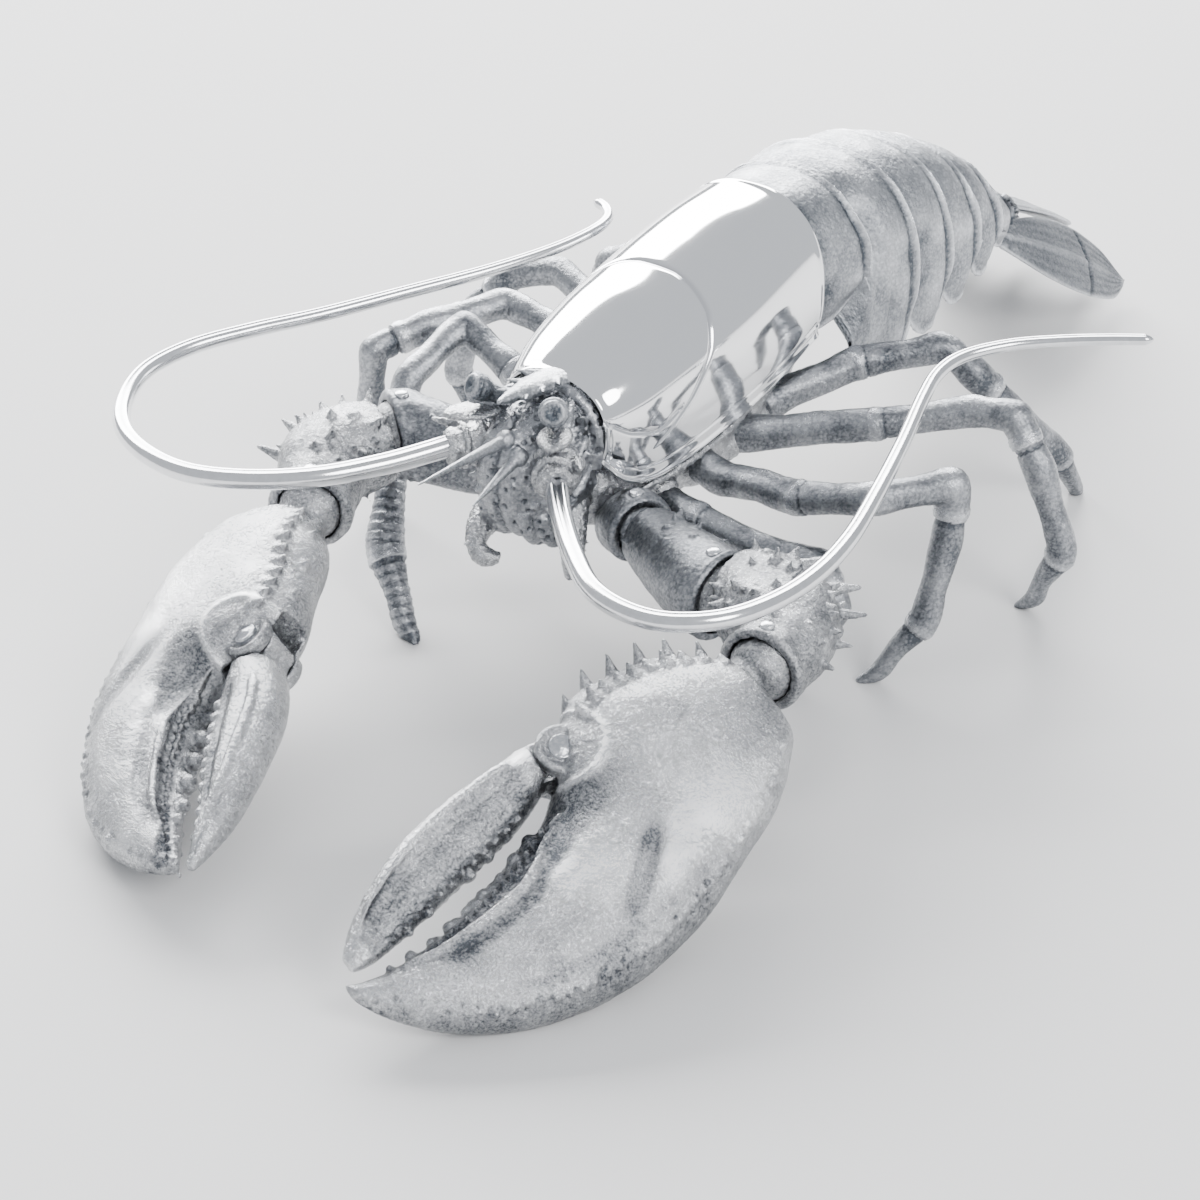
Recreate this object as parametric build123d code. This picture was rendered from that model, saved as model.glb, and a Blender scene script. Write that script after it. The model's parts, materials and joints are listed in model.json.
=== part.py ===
"""A life-size silver lobster table piece whose hinged claws are the cracker jaws.

+X is the lobster's left, the head faces -Y, +Z is up and Z = 0 is the table.
The body's plane of symmetry is X = 0. The pieces are laid out from a point below the rear of the
shell and moved on saving, so that the origin is on the table under the middle of the whole piece.
All sizes are in mm.
"""

from build123d import *
from math import copysign, cos, pi, radians, sin, sqrt
import os

# Driving dimensions
MIDDLE_SHIFT = 60.5
SHELL_WALL = 1.6
FAN_BOW = 2.5
TAIL_WALL = 1.5
PIN_RADIUS = 2.0
RUNNING_GAP = 0.06
RIVET_LENGTH = 7.0
CUP_GAP = 0.4
CUP_WALL = 2.0
CUP_LIP = 3.8
CLAW_WALL = 2.6
ANTENNA_ROOT_RADIUS = 3.0
ANTENNA_TIP_RADIUS = 1.7
UP = Vector(0, 0, 1)
SIDES = (("left", 1), ("right", -1))


def save(shape, node):
    """Writes one node's STEP file, moved so that the origin is below the middle of the whole piece."""
    placed = Pos(0, MIDDLE_SHIFT, 0) * shape
    placed.label = node
    export_step(placed, "parts/" + node + ".step")


def solid_of(shape):
    """The largest solid of a boolean's result, so that no crumbs are kept."""
    return max(shape.solids(), key=lambda solid: solid.volume)


def mirrored(point, side):
    """A point of the left side, on the side asked for."""
    return (point[0] * side, point[1], point[2])


def oval(inner, outer, top, bottom, power=2.3, count=14):
    """Points of a rounded section: its reach to +u, -u, +v and -v, squarer as power grows."""
    points = []
    for k in range(count):
        angle = 2 * pi * (k + 0.5) / count
        u = copysign(abs(cos(angle)) ** (2 / power), cos(angle))
        v = copysign(abs(sin(angle)) ** (2 / power), sin(angle))
        points.append((u * (inner if u > 0 else outer), v * (top if v > 0 else bottom)))
    return points


def ring(centre, across, up, outline):
    """A closed smooth wire through an outline placed in space."""
    points = [centre + across * u + up * v for u, v in outline]
    return Wire([Edge.make_spline(points, periodic=True)])


def limb(path, sizes, power=2.0):
    """A solid of oval sections along a path. Each size is a radius or (across, up)."""
    points = [Vector(*p) for p in path]
    rings = []
    across = None
    for k, centre in enumerate(points):
        ahead = points[min(k + 1, len(points) - 1)]
        behind = points[max(k - 1, 0)]
        along = (ahead - behind).normalized()
        if across is None:
            across = along.cross(UP)
        across = (across - along * across.dot(along)).normalized()
        up = across.cross(along).normalized()
        size = sizes[k] if isinstance(sizes[k], tuple) else (sizes[k], sizes[k])
        rings.append(ring(centre, across, up, oval(size[0], size[0], size[1], size[1], power)))
    return Solid.make_loft(rings)


def ball(centre, radius):
    return Pos(*centre) * Sphere(radius)


def spike(base, tip, radius):
    """A thorn with a blunt point."""
    base, tip = Vector(*base), Vector(*tip)
    length = (tip - base).length
    place = Plane(origin=base, z_dir=tip - base)
    cone = Cone(radius, radius * 0.16, length, align=(Align.CENTER, Align.CENTER, Align.MIN))
    return place * cone


def post(centre, radius, low, high, axis=UP):
    """A cylinder about an axis through centre, from low to high along it."""
    place = Plane(origin=Vector(*centre) + Vector(*axis) * low, z_dir=Vector(*axis))
    return place * Cylinder(radius, high - low, align=(Align.CENTER, Align.CENTER, Align.MIN))


class BallHinge:
    """A ball on one piece turns on an upright pin in a cup on the piece before it."""

    def __init__(self, at, forward, radius, onward=None):
        self.at = Vector(*at)
        self.forward = Vector(forward.X, forward.Y, 0).normalized()
        self.onward = (onward or forward).normalized()
        self.radius = radius
        self.room = radius + CUP_GAP
        self.outside = self.room + CUP_WALL

    def beyond(self, size=60.0):
        """Everything in front of the cup's rim."""
        place = Plane(origin=self.at + self.forward * CUP_LIP, z_dir=self.forward)
        return place * Box(size, size, size, align=(Align.CENTER, Align.CENTER, Align.MIN))

    def cup(self, body):
        """The piece with the cup."""
        made = body + ball(self.at, self.outside) - self.beyond()
        made = made - ball(self.at, self.room)
        return solid_of(made - post(self.at, PIN_RADIUS, -self.outside - 9, self.outside + 9))

    def tongue(self, body):
        """The piece with the ball."""
        place = Plane(origin=self.at, z_dir=self.onward)
        neck = place * Cylinder(
            self.radius * 0.66, self.outside + 4, align=(Align.CENTER, Align.CENTER, Align.MIN)
        )
        made = solid_of(body - ball(self.at, self.outside + 0.7)) + neck + ball(self.at, self.radius)
        hole = PIN_RADIUS + RUNNING_GAP
        return solid_of(made - post(self.at, hole, -self.outside, self.outside))

    def seat(self, body):
        """A piece of the trunk hollowed where the cup is let in."""
        return solid_of(body - ball(self.at, self.outside))

    def pin(self):
        """The pin, a little proud of the cup at both ends."""
        return solid_of(post(self.at, PIN_RADIUS, -self.outside - 0.8, self.outside + 0.8))


# Body shell and tail: arches open below
def arch(y, half_width, top, waist, bottom, count=15):
    """Points of an arch in an upright plane, from the right foot over the top to the left."""
    points = [(-half_width * 0.90, y, bottom), (-half_width * 0.985, y, (bottom + waist) / 2)]
    for k in range(count):
        angle = pi * (1 - k / (count - 1))
        reach = copysign(abs(cos(angle)) ** 0.88, cos(angle))
        rise = abs(sin(angle)) ** 0.88
        points.append((half_width * reach, y, waist + (top - waist) * rise))
    points += [(half_width * 0.985, y, (bottom + waist) / 2), (half_width * 0.90, y, bottom)]
    return [Vector(*p) for p in points]


def arch_wall(section, wall):
    """The closed outline of an arch's wall."""
    y, half_width, top, waist, bottom = section
    outer = arch(y, half_width, top, waist, bottom)
    inner = arch(y, half_width - wall, top - wall, waist, bottom)
    edges = [
        Edge.make_spline(outer),
        Edge.make_line(outer[-1], inner[-1]),
        Edge.make_spline(inner[::-1]),
        Edge.make_line(inner[0], outer[0]),
    ]
    return Wire(edges)


def arch_shell(sections, wall):
    return Solid.make_loft([arch_wall(section, wall) for section in sections])


# Each section is y, half width, top, waist and foot
CARAPACE = [
    (-125.0, 17.0, 88.0, 74.0, 66.0),
    (-118.0, 20.5, 91.5, 74.0, 57.5),
    (-108.0, 23.5, 95.0, 75.0, 54.0),
    (-93.0, 25.5, 99.0, 76.0, 54.5),
    (-78.0, 26.5, 101.5, 77.0, 56.0),
    (-60.0, 27.0, 104.5, 78.0, 58.0),
    (-42.0, 26.5, 107.0, 79.0, 60.5),
    (-25.0, 25.5, 108.0, 80.0, 64.0),
]
# The hidden front of each tail ring nests in the ring ahead of it
TAIL = {
    1: [
        (-33, 22.3, 103.6, 80, 66), (-26, 22.9, 104.6, 80, 62),
        (-14, 25.5, 105.2, 79, 61), (-4, 27.0, 105.4, 78, 62),
    ],
    2: [
        (-12, 21.2, 101.0, 77, 60), (-4, 22.3, 102.2, 76, 53),
        (6, 29.4, 104.4, 75, 43), (18, 31.3, 104.0, 74, 42),
    ],
    3: [
        (9, 26.4, 100.6, 73, 58), (18, 27.2, 100.6, 72, 48),
        (30, 29.4, 101.2, 70, 42), (41, 30.0, 98.8, 68, 42),
    ],
    4: [
        (32, 26.2, 96.4, 68, 54), (41, 26.8, 95.0, 67, 47),
        (51, 28.4, 95.0, 65, 43), (61, 28.6, 91.0, 63, 44),
    ],
    5: [
        (52, 24.8, 89.6, 63, 55), (61, 25.4, 87.0, 62, 51),
        (70, 26.6, 86.4, 60, 45), (79, 26.2, 80.8, 58, 46),
    ],
    6: [
        (71, 22.4, 80.6, 58, 54), (79, 22.8, 76.8, 57, 51),
        (90, 22.0, 71.0, 53, 46), (101, 19.0, 61.5, 51, 46),
    ],
}
# Where each tail rivet's axis stands: y and z
TAIL_HINGES = {
    1: (-29, 78), 2: (-8, 76), 3: (13.5, 72), 4: (36.5, 66), 5: (56.5, 61), 6: (75, 56), 7: (96, 50),
}


def carapace():
    """The polished shell, with holes for the first tail rivets."""
    return solid_of(arch_shell(CARAPACE, SHELL_WALL) - cross_bar(TAIL_HINGES[1], PIN_RADIUS, 40))


def tail_ring(index):
    """One ring of the tail, with rivet holes in front and behind."""
    made = arch_shell(TAIL[index], TAIL_WALL)
    ahead = TAIL_HINGES[index]
    behind = TAIL_HINGES[index + 1]
    made -= cross_bar(ahead, PIN_RADIUS + RUNNING_GAP, 40)
    made -= cross_bar(behind, PIN_RADIUS, 40)
    return solid_of(made)


def cross_bar(place, radius, half):
    """A rod along X through a tail hinge."""
    return post((0, place[0], place[1]), radius, -half, half, Vector(1, 0, 0))


def width_at(section_list, y):
    """The half width of a ring's outer face near its waist, at y."""
    for low, high in zip(section_list, section_list[1:]):
        if low[0] <= y <= high[0]:
            share = (y - low[0]) / (high[0] - low[0])
            return low[1] + (high[1] - low[1]) * share
    return section_list[-1][1]


def tail_rivets(index):
    """The two flush rivets that carry ring index in the piece ahead of it."""
    place = TAIL_HINGES[index]
    holder = CARAPACE if index == 1 else TAIL[index - 1]
    outer = width_at(holder, place[0])
    rivets = []
    for sign in (1, -1):
        axis = Vector(sign, 0, 0)
        rivets.append(post((0, place[0], place[1]), PIN_RADIUS, outer - RIVET_LENGTH, outer, axis))
    return Compound(children=[solid_of(rivet) for rivet in rivets])


# Tail fan. Each blade is its root, its tip, its face's direction, its half widths and thickness
FAN_BLADES = {
    "telson": ((0, 95, 57), (0, 175, 16), (0, 0.46, 0.89), (8, 11, 12.5, 13, 12.6, 10.5, 5), 2.2),
    "inner": ((6.5, 97, 46), (13, 173, 7), (0.38, 0.40, 0.83), (3.2, 6, 7.8, 8.6, 8.6, 7, 3.5), 1.4),
    "outer": (
        (11.4, 98.5, 46), (30.5, 164, 6.5), (0.76, 0.2, 0.62), (2.4, 7, 11.2, 13.2, 13.2, 10.6, 5), 1.4,
    ),
}


def blade(name, side):
    """A rounded plate of the fan, a little bowed."""
    root, tip, facing, widths, thick = FAN_BLADES[name]
    root, tip = Vector(*mirrored(root, side)), Vector(*mirrored(tip, side))
    along = (tip - root).normalized()
    facing = Vector(*mirrored(facing, side))
    facing = (facing - along * facing.dot(along)).normalized()
    across = facing.cross(along).normalized()
    last = len(widths) - 1
    rings = []
    for k, width in enumerate(widths):
        share = k / last
        height = thick * (1 - 0.45 * share)
        centre = root + (tip - root) * share + facing * (FAN_BOW * sin(pi * share))
        rings.append(ring(centre, across, facing, oval(width, width, height, height, 2.2)))
    return Solid.make_loft(rings)


def telson():
    """The middle blade of the fan, hung between the last ring's rivets."""
    hinge = TAIL_HINGES[7]
    made = blade("telson", 1)
    made = made + post((0, hinge[0], hinge[1]), 5.0, -16.2, 16.2, Vector(1, 0, 0))
    made -= cross_bar(hinge, PIN_RADIUS + RUNNING_GAP, 40)
    return solid_of(made)


def uropod(side, name):
    """One of the two blades at each side of the telson."""
    return solid_of(blade(name, side) - Pos(0, 96, -20) * Box(200, 400, 40))


# Trunk
def trunk_loft(stations, power):
    """A loft of upright sections: y, half width, top and bottom."""
    rings = []
    for y, half_width, top, bottom in stations:
        middle = Vector(0, y, (top + bottom) / 2)
        half = (top - bottom) / 2
        rings.append(ring(middle, Vector(1, 0, 0), UP, oval(half_width, half_width, half, half, power)))
    return Solid.make_loft(rings)


def thorax(shoulders):
    """The cast trunk below the shell: it carries the legs, the arms, the head and the tail."""
    made = trunk_loft([
        (-124, 13, 63, 42), (-112, 17.5, 65, 37), (-95, 20.5, 68, 35), (-75, 22, 70, 34.5),
        (-55, 22, 72, 36), (-38, 20.5, 73, 39), (-27, 17.5, 73, 46),
    ], 2.5)
    made -= Pos(0, -74, 68) * Box(26, 78, 40)
    for hinge in shoulders:
        made = hinge.seat(made)
    return solid_of(made)


def head(shoulders):
    """The chased head casting between the shell and the feelers."""
    made = trunk_loft([
        (-114, 14.0, 83, 50), (-124, 14.2, 84.4, 47), (-134, 14.0, 85, 44),
        (-143, 12.0, 83.0, 46), (-149, 9.0, 79.0, 52), (-152.5, 5.0, 74, 60),
    ], 2.2)
    made -= Pos(0, -112, 50) * Box(60, 24, 60)
    for hinge in shoulders:
        made = hinge.seat(made)
    return solid_of(made)


def rostrum():
    """The spear between the eyes, with its side thorns."""
    path = [(0, -119, 86.4), (0, -127, 87.6), (0, -138, 89.4), (0, -147, 90.6), (0, -151, 91)]
    made = limb(path, [(6.0, 1.8), (5.2, 2.3), (3.6, 2.2), (1.6, 1.4), (0.6, 0.6)])
    for y, width in ((-128, 5.0), (-134, 4.2), (-140, 3.2)):
        for sign in (1, -1):
            made += spike((width * 0.6 * sign, y, 88.6), (width * 1.5 * sign, y - 5, 91), 1.5)
    return solid_of(made)


def eye(side):
    """A stalked eye."""
    made = ball(mirrored((12.5, -142.5, 88.2), side), 4.0)
    stalk = limb(
        [mirrored(p, side) for p in ((8, -133, 82), (10.5, -138, 85), (12.2, -141.5, 87.6))],
        [2.6, 2.6, 3.0],
    )
    return solid_of(made + stalk)


ANTENNA_PATHS = {
    "left": [
        (17, -148, 71), (22, -154, 70), (30, -163, 69.5), (42, -175, 69.5), (55, -185.5, 69.5),
        (68, -189.5, 69.5), (80, -187.5, 69.5), (91, -178, 69.5), (97, -163, 69.5), (99, -146, 70),
        (97.5, -128, 71), (93, -108, 72.5), (86, -82, 74.5), (79.5, -60, 77), (77, -47, 78.5),
        (79, -36, 79.5), (87, -25, 80.5), (98, -16, 81.3), (109.5, -9, 82.2), (121, -3, 83),
    ],
    "right": [
        (-17, -149, 72), (-21, -155, 71), (-28, -166, 70), (-38, -181, 70), (-52, -193, 70),
        (-68, -200, 70), (-84, -199, 70), (-99, -192, 70), (-109.5, -180, 70.5), (-114.6, -165, 72),
        (-111.5, -149, 73.5), (-102, -133, 75), (-89.5, -115.5, 76.5), (-75.5, -93, 78.5),
        (-62.5, -72.5, 80.5), (-53.5, -53.5, 82), (-49.5, -39, 83), (-50, -28.5, 83.2), (-54.5, -22, 83.2),
        (-61, -19, 83.2),
    ],
}


def antenna(side_name):
    """A feeler: one tapered polished rod."""
    path = ANTENNA_PATHS[side_name]
    last = len(path) - 1
    sizes = []
    for k in range(len(path)):
        share = k / last
        sizes.append(ANTENNA_ROOT_RADIUS + (ANTENNA_TIP_RADIUS - ANTENNA_ROOT_RADIUS) * share)
    return limb(path, sizes)


def antenna_socket(name, side):
    """The jointed base of a feeler, bored for it."""
    path = [(9, -138, 70), (12.5, -142.5, 70.5), (15.5, -146.5, 71), (18.5, -150.4, 71)]
    made = limb([mirrored(p, side) for p in path], [(7.5, 7.0), (6.6, 6.4), (5.4, 5.4), (4.4, 4.4)])
    made += spike(mirrored((18, -140, 73), side), mirrored((25, -148, 77), side), 2.6)
    return solid_of(made - antenna(name))


def antennal_scale(side):
    """The leaf-shaped scale outside each feeler."""
    path = [(9.5, -137, 80), (12, -141, 80.8), (14.5, -145.5, 81.4), (16.5, -149.5, 81.9), (17.5, -152, 82.2)]
    sizes = [(3.0, 1.6), (4.6, 1.6), (4.8, 1.5), (3.2, 1.3), (0.9, 0.7)]
    return limb([mirrored(p, side) for p in path], sizes)


ANTENNULES = {"left": ((5.9, -150, 75.8), (6, -171, 70.5)), "right": ((1, -149, 79), (-0.5, -186, 82))}


def antennule(name):
    """A short pointed feeler at the middle of the face."""
    root, tip = ANTENNULES[name]
    return solid_of(ball(root, 2.8) + spike(root, tip, 1.9))


MAXILLIPED_PATHS = {
    "left": [(8, -127, 52), (11, -132, 49), (13, -135, 44), (13.8, -136.5, 38.5), (13.4, -137, 33.5)],
    "right": [(-8, -131, 53), (-9.5, -141, 50.5), (-9, -149, 47), (-6, -153, 43.5), (-1, -150, 41.5)],
}


def maxilliped(name):
    """A curled mouth limb under the head."""
    return limb(MAXILLIPED_PATHS[name], [4.4, 4.2, 3.8, 3.0, 1.5])


# Walking legs: hip, then the bends, then the foot. Radii fall towards the foot
LEG_PATHS = {
    "left": [
        [(17, -100, 44), (34, -104, 43.5), (56, -105, 41.5), (72, -100, 40), (77, -99, 28),
         (72, -101, 12), (64, -104, 0)],
        [(18, -84, 46), (58, -88.6, 51), (80, -88.5, 58), (98, -72, 61), (97, -74, 42),
         (95, -80, 20), (83, -90, 0)],
        [(18, -64, 47), (57, -46, 55), (80, -33, 60.5), (93, -30, 62), (103, -31.5, 48),
         (112, -31, 24), (100.5, -30, 0)],
        [(17, -46, 49), (36, -22, 58), (56, -7, 63), (66, -5, 56), (73, 3, 44),
         (80, 25, 20), (81, 39, 0)],
    ],
    "right": [
        [(18, -82, 45), (45, -82, 56), (67, -78, 64), (68, -104, 57), (66.5, -113, 40),
         (55, -134, 18), (36, -147, 0)],
        [(18, -66, 46), (50, -51, 55), (72, -50, 58), (84, -76, 57), (92, -90, 53),
         (94, -90, 34), (88, -92, 0)],
        [(18, -50, 47), (44, -36, 57), (68, -28, 61), (84, -30, 56), (96, -34, 42),
         (104, -34, 18), (102, -28, 0)],
        [(17, -37, 50), (35, -20, 58), (54, -8, 62), (64, -6, 56), (72, 2, 42),
         (80, 22, 18), (82, 34, 0)],
    ],
}
LEG_RADII = [5.6, 4.8, 4.6, 4.8, 4.5, 4.2, 1.8]
STOUT_LEG_RADII = [5.6, 4.8, 4.5, 4.3, 4.6, 5.4, 2.6]
STOUT_LEG = ("right", 1)


def leg(path, radii):
    """A cast walking leg with rounded bends, flat where its foot meets the table."""
    bends = [Vector(*p) for p in path]
    bends[-1] = bends[-1] + (bends[-1] - bends[-2]).normalized() * 4
    stations = [bends[0]]
    sizes = [radii[0]]
    for k in range(len(bends) - 1):
        run = bends[k + 1] - bends[k]
        taper = radii[k + 1] - radii[k]
        for share, waist in ((0.22, 1.0), (0.5, 0.92), (0.78, 1.0)):
            stations.append(bends[k] + run * share)
            sizes.append((radii[k] + taper * share) * waist)
        if k < len(bends) - 2:
            chord = (bends[k] + bends[k + 2]) * 0.5
            stations.append(bends[k + 1] + (chord - bends[k + 1]) * 0.05)
            sizes.append(radii[k + 1] * 1.04)
    stations.append(bends[-1])
    sizes.append(radii[-1] * 0.7)
    return solid_of(limb(stations, sizes) - Pos(0, 0, -20) * Box(400, 500, 40))


# Claws
class Claw:
    """A claw's own frame: s runs from wrist to tip, w towards its inner edge, n out of its back."""

    def __init__(self, wrist, tip, inward):
        self.wrist = Vector(*wrist)
        along = Vector(*tip) - self.wrist
        self.length = along.length
        self.s = along.normalized()
        inward = Vector(*inward)
        self.w = (inward - self.s * inward.dot(self.s)).normalized()
        normal = self.s.cross(self.w).normalized()
        self.n = normal if normal.Z > 0 else normal * -1

    def at(self, s, w, n=0.0):
        return self.wrist + self.s * s + self.w * w + self.n * n

    def body(self, stations, power=2.3):
        """A loft of sections: s, inner reach, outer reach, back and belly."""
        rings = []
        for s, inner, outer, back, belly in stations:
            middle = (inner + outer) / 2
            half = (inner - outer) / 2
            rings.append(ring(self.at(s, middle), self.w, self.n, oval(half, half, back, belly, power)))
        return Solid.make_loft(rings)

    def tooth(self, s, w, radius):
        return ball(self.at(s, w, 0.5), radius)


def shrunk(stations, wall, first, last):
    """The stations of a claw's hollow, inside its wall."""
    made = []
    for s, inner, outer, back, belly in stations:
        if first <= s <= last:
            made.append((s, inner - wall, outer + wall, back - wall, belly - wall))
    return made


CLAWS = {
    "left": {
        "frame": Claw((91, -160, 46), (56, -294, 15), (-0.869, 0.115, 0.482)),
        "palm": [
            (9, 7, -22, 10, 9), (18, 14, -29, 13.5, 12), (30, 19.5, -35, 15.5, 14.5),
            (44, 21.5, -39.5, 17, 16), (56, 19, -43.5, 17, 16), (66, 8, -45.5, 16.5, 15.5),
            (76, 0, -46.5, 15.5, 14.5), (90, -4.8, -46, 14, 12), (104, -7.2, -43, 12, 9.5),
            (118, -8.2, -37, 9.5, 7.5), (130, -7.6, -28, 7, 5.5), (139, -5.5, -17, 4, 3.5),
            (143, -3.5, -9, 2, 2),
        ],
        "hollow": (18, 104),
        "knuckle": (62, 11),
        "dactyl": [
            (68, 18.5, 7, 8, 8), (80, 19, 3, 9, 9), (92, 19, 1, 8.5, 8.5), (104, 17.8, -0.5, 7.8, 7.8),
            (116, 15, -2, 6.6, 6.6), (127, 10.5, -3, 5, 5), (135, 5.5, -3, 3, 3), (139, 2, -2, 1.4, 1.4),
        ],
        "palm_teeth": [
            (84, -3.4, 2.2), (90, -5.8, 2.8), (97, -7.0, 2.8), (104, -8.2, 3.2),
            (111, -8.8, 2.6), (118, -9.0, 2.2), (125, -8.6, 1.8),
        ],
        "dactyl_teeth": [
            (86, 3.2, 2.2), (93, 2.2, 2.4), (100, 1.2, 2.6), (107.5, 0.2, 2.4),
            (114.5, -0.8, 2.0), (121.5, -1.9, 1.7),
        ],
    },
    "right": {
        "frame": Claw((-55.5, -164.5, 47), (-8, -283, 14), (0.869, 0.229, 0.438)),
        "palm": [
            (9, 8, -24, 11, 10), (18, 10, -33, 14, 12), (30, 11.5, -38, 16, 14),
            (44, 12.5, -41.5, 16.5, 15), (56, 11, -43.5, 16.5, 15), (64, 3, -44.5, 16, 14.5),
            (73, -5, -44.5, 15, 13.5), (86, -7, -43, 13.5, 11.5), (100, -6.5, -39.5, 11.5, 9.5),
            (112, -4, -34, 9, 7.5), (122, -0.5, -25, 6.5, 5.5), (130, 2.5, -13, 4, 3.5), (134, 3.5, -2, 2, 2),
        ],
        "hollow": (18, 100),
        "knuckle": (60, 4.5),
        "dactyl": [
            (66, 12.5, -2, 8, 8), (77, 17, -1, 8.5, 8.5), (89, 18.6, 0, 8, 8), (101, 18, 2, 7.2, 7.2),
            (112, 17, 4.4, 6, 6), (122, 15, 6.4, 4.5, 4.5), (130, 11.8, 6.8, 2.8, 2.8), (135, 9, 7, 1.3, 1.3),
        ],
        "palm_teeth": [(80, -5.4, 2.0), (88, -5.2, 2.6), (96, -4.6, 2.4), (104, -3.8, 2.6), (112, -2.2, 1.8)],
        "dactyl_teeth": [(84, 0.4, 1.6), (92, 1.4, 1.8), (100, 2.6, 1.8), (108, 4.2, 1.6)],
    },
}
KNUCKLE = {"radius": 6.5, "half": 5.2, "ear": 3.2}
SPINES = {
    "left": [(14, 10, 7), (21, 15, 8), (28, 18.5, 8.5), (36, 20.5, 8), (44, 21.5, 7.5), (52, 20, 6)],
    "right": [(20, 9, 5), (32, 11, 5), (44, 12, 5.5)],
}


def palm(side_name, wrist_hinge):
    """The hollow palm and fixed finger, with its thorns, teeth and the two clevises."""
    claw = CLAWS[side_name]
    frame = claw["frame"]
    made = frame.body(claw["palm"])
    for s, w, size in SPINES[side_name]:
        made += spike(frame.at(s, w - 3, 3), frame.at(s - 1.5, w + size * 0.55, 3 + size * 0.5), 2.4)
    for s, w, size in claw["palm_teeth"]:
        made += frame.tooth(s, w, size)
    knuckle = frame.at(*claw["knuckle"])
    half = KNUCKLE["half"] + CUP_GAP
    reach = half + KNUCKLE["ear"]
    made += post(knuckle, KNUCKLE["radius"] + 0.3, -reach, reach, frame.n)
    room = post(knuckle, KNUCKLE["radius"] + 1.1, -half, half, frame.n)
    for s, w in ((12, 12), (14, 0), (6, 14), (-4, 14)):
        start = frame.at(claw["knuckle"][0], claw["knuckle"][1])
        direction = (frame.s * s + frame.w * w).normalized()
        place = Plane(origin=start, x_dir=direction, z_dir=frame.n)
        slot = Box(26, KNUCKLE["radius"] * 2.3, half * 2, align=(Align.MIN, Align.CENTER, Align.CENTER))
        room += place * slot
    made -= room
    made -= post(knuckle, PIN_RADIUS, -30, 30, frame.n)
    hollow = frame.body(shrunk(claw["palm"], CLAW_WALL + 1.5, *claw["hollow"]))
    made = solid_of(made)
    keep = post(knuckle, KNUCKLE["radius"] + 3.6, -20, 20, frame.n)
    made = made - (hollow - keep - room)
    made = wrist_hinge.tongue(solid_of(made))
    return solid_of(made - Pos(0, -220, -20) * Box(400, 400, 40))


def dactyl(side_name):
    """The moving finger with its lug."""
    claw = CLAWS[side_name]
    frame = claw["frame"]
    made = frame.body(claw["dactyl"])
    knuckle = frame.at(*claw["knuckle"])
    half = KNUCKLE["half"]
    made -= post(knuckle, KNUCKLE["radius"] + 1.0, half, half + 20, frame.n)
    made -= post(knuckle, KNUCKLE["radius"] + 1.0, -half - 20, -half, frame.n)
    made += post(knuckle, KNUCKLE["radius"] - 0.3, -half, half, frame.n)
    first = claw["dactyl"][0]
    neck_end = frame.at(first[0] + 4, (first[1] + first[2]) / 2)
    direction = neck_end - knuckle
    place = Plane(origin=knuckle, x_dir=direction, z_dir=frame.n)
    lug = Box(
        direction.length, KNUCKLE["radius"] * 1.7, half * 2, align=(Align.MIN, Align.CENTER, Align.CENTER)
    )
    made += place * lug
    for s, w, size in claw["dactyl_teeth"]:
        made += frame.tooth(s, w, size)
    made -= post(knuckle, PIN_RADIUS + RUNNING_GAP, -30, 30, frame.n)
    return solid_of(made)


def dactyl_pin(side_name):
    """The knuckle's pin with a ring-shaped head."""
    claw = CLAWS[side_name]
    frame = claw["frame"]
    knuckle = frame.at(*claw["knuckle"])
    reach = KNUCKLE["half"] + CUP_GAP + KNUCKLE["ear"]
    made = post(knuckle, PIN_RADIUS, -reach, reach, frame.n)
    made += post(knuckle, PIN_RADIUS + 1.4, reach, reach + 1.2, frame.n)
    made += post(knuckle, PIN_RADIUS + 1.4, -reach - 1.2, -reach, frame.n)
    return solid_of(made)


# Arms
ARMS = {
    "left": {
        "shoulder": (24, -120, 46), "elbow": (61.5, -138, 46.5), "wrist": (92, -159, 46),
        "merus": [(30, -123, 46), (40, -127.8, 46), (50, -132.5, 46.3), (61.5, -138, 46.5)],
        "merus_sizes": [(8.5, 9), (10.5, 10.5), (12, 12), (12.5, 12.5)],
        "carpus": [(66, -138, 47), (76, -138, 48.5), (85, -142, 48.5), (91, -150, 47.5), (92, -159, 46)],
        "carpus_sizes": [(10, 11), (15, 13.5), (16, 13.5), (13.5, 12), (11, 11)],
        "thorns": [((87, -128, 51), (97, -120, 51.5)), ((93, -134, 49), (104, -128, 49.5)),
                   ((97, -143, 47), (107, -140, 47)), ((78, -126, 53), (86, -118, 56)),
                   ((76, -150, 50), (70.5, -154.5, 54)), ((99, -150, 46), (108, -151, 46))],
    },
    "right": {
        "shoulder": (-22, -113, 43.8), "elbow": (-54, -125, 52.5), "wrist": (-55.5, -164.5, 47),
        "merus": [(-28, -115.5, 45.5), (-37, -118.5, 48.5), (-46, -122, 51), (-54, -125, 52.5)],
        "merus_sizes": [(8.5, 9), (10.5, 11.5), (11.5, 12.5), (12, 12.5)],
        "carpus": [
            (-56, -131, 52), (-61, -140, 51.5), (-63, -149, 50), (-59, -157, 48.5), (-55.5, -164.5, 47),
        ],
        "carpus_sizes": [(10.5, 11), (13.5, 13), (13.5, 13), (12, 12), (11, 11)],
        "thorns": [((-70, -136, 55), (-79, -132, 59)), ((-74, -144, 53), (-84, -143, 56)),
                   ((-74, -152, 50), (-84, -154, 52)), ((-60, -133, 60), (-63, -128, 66)),
                   ((-53, -146, 56), (-47, -150, 60))],
    },
}
BALL_RADII = {"shoulder": 8.0, "elbow": 10.5, "wrist": 9.6}


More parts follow.
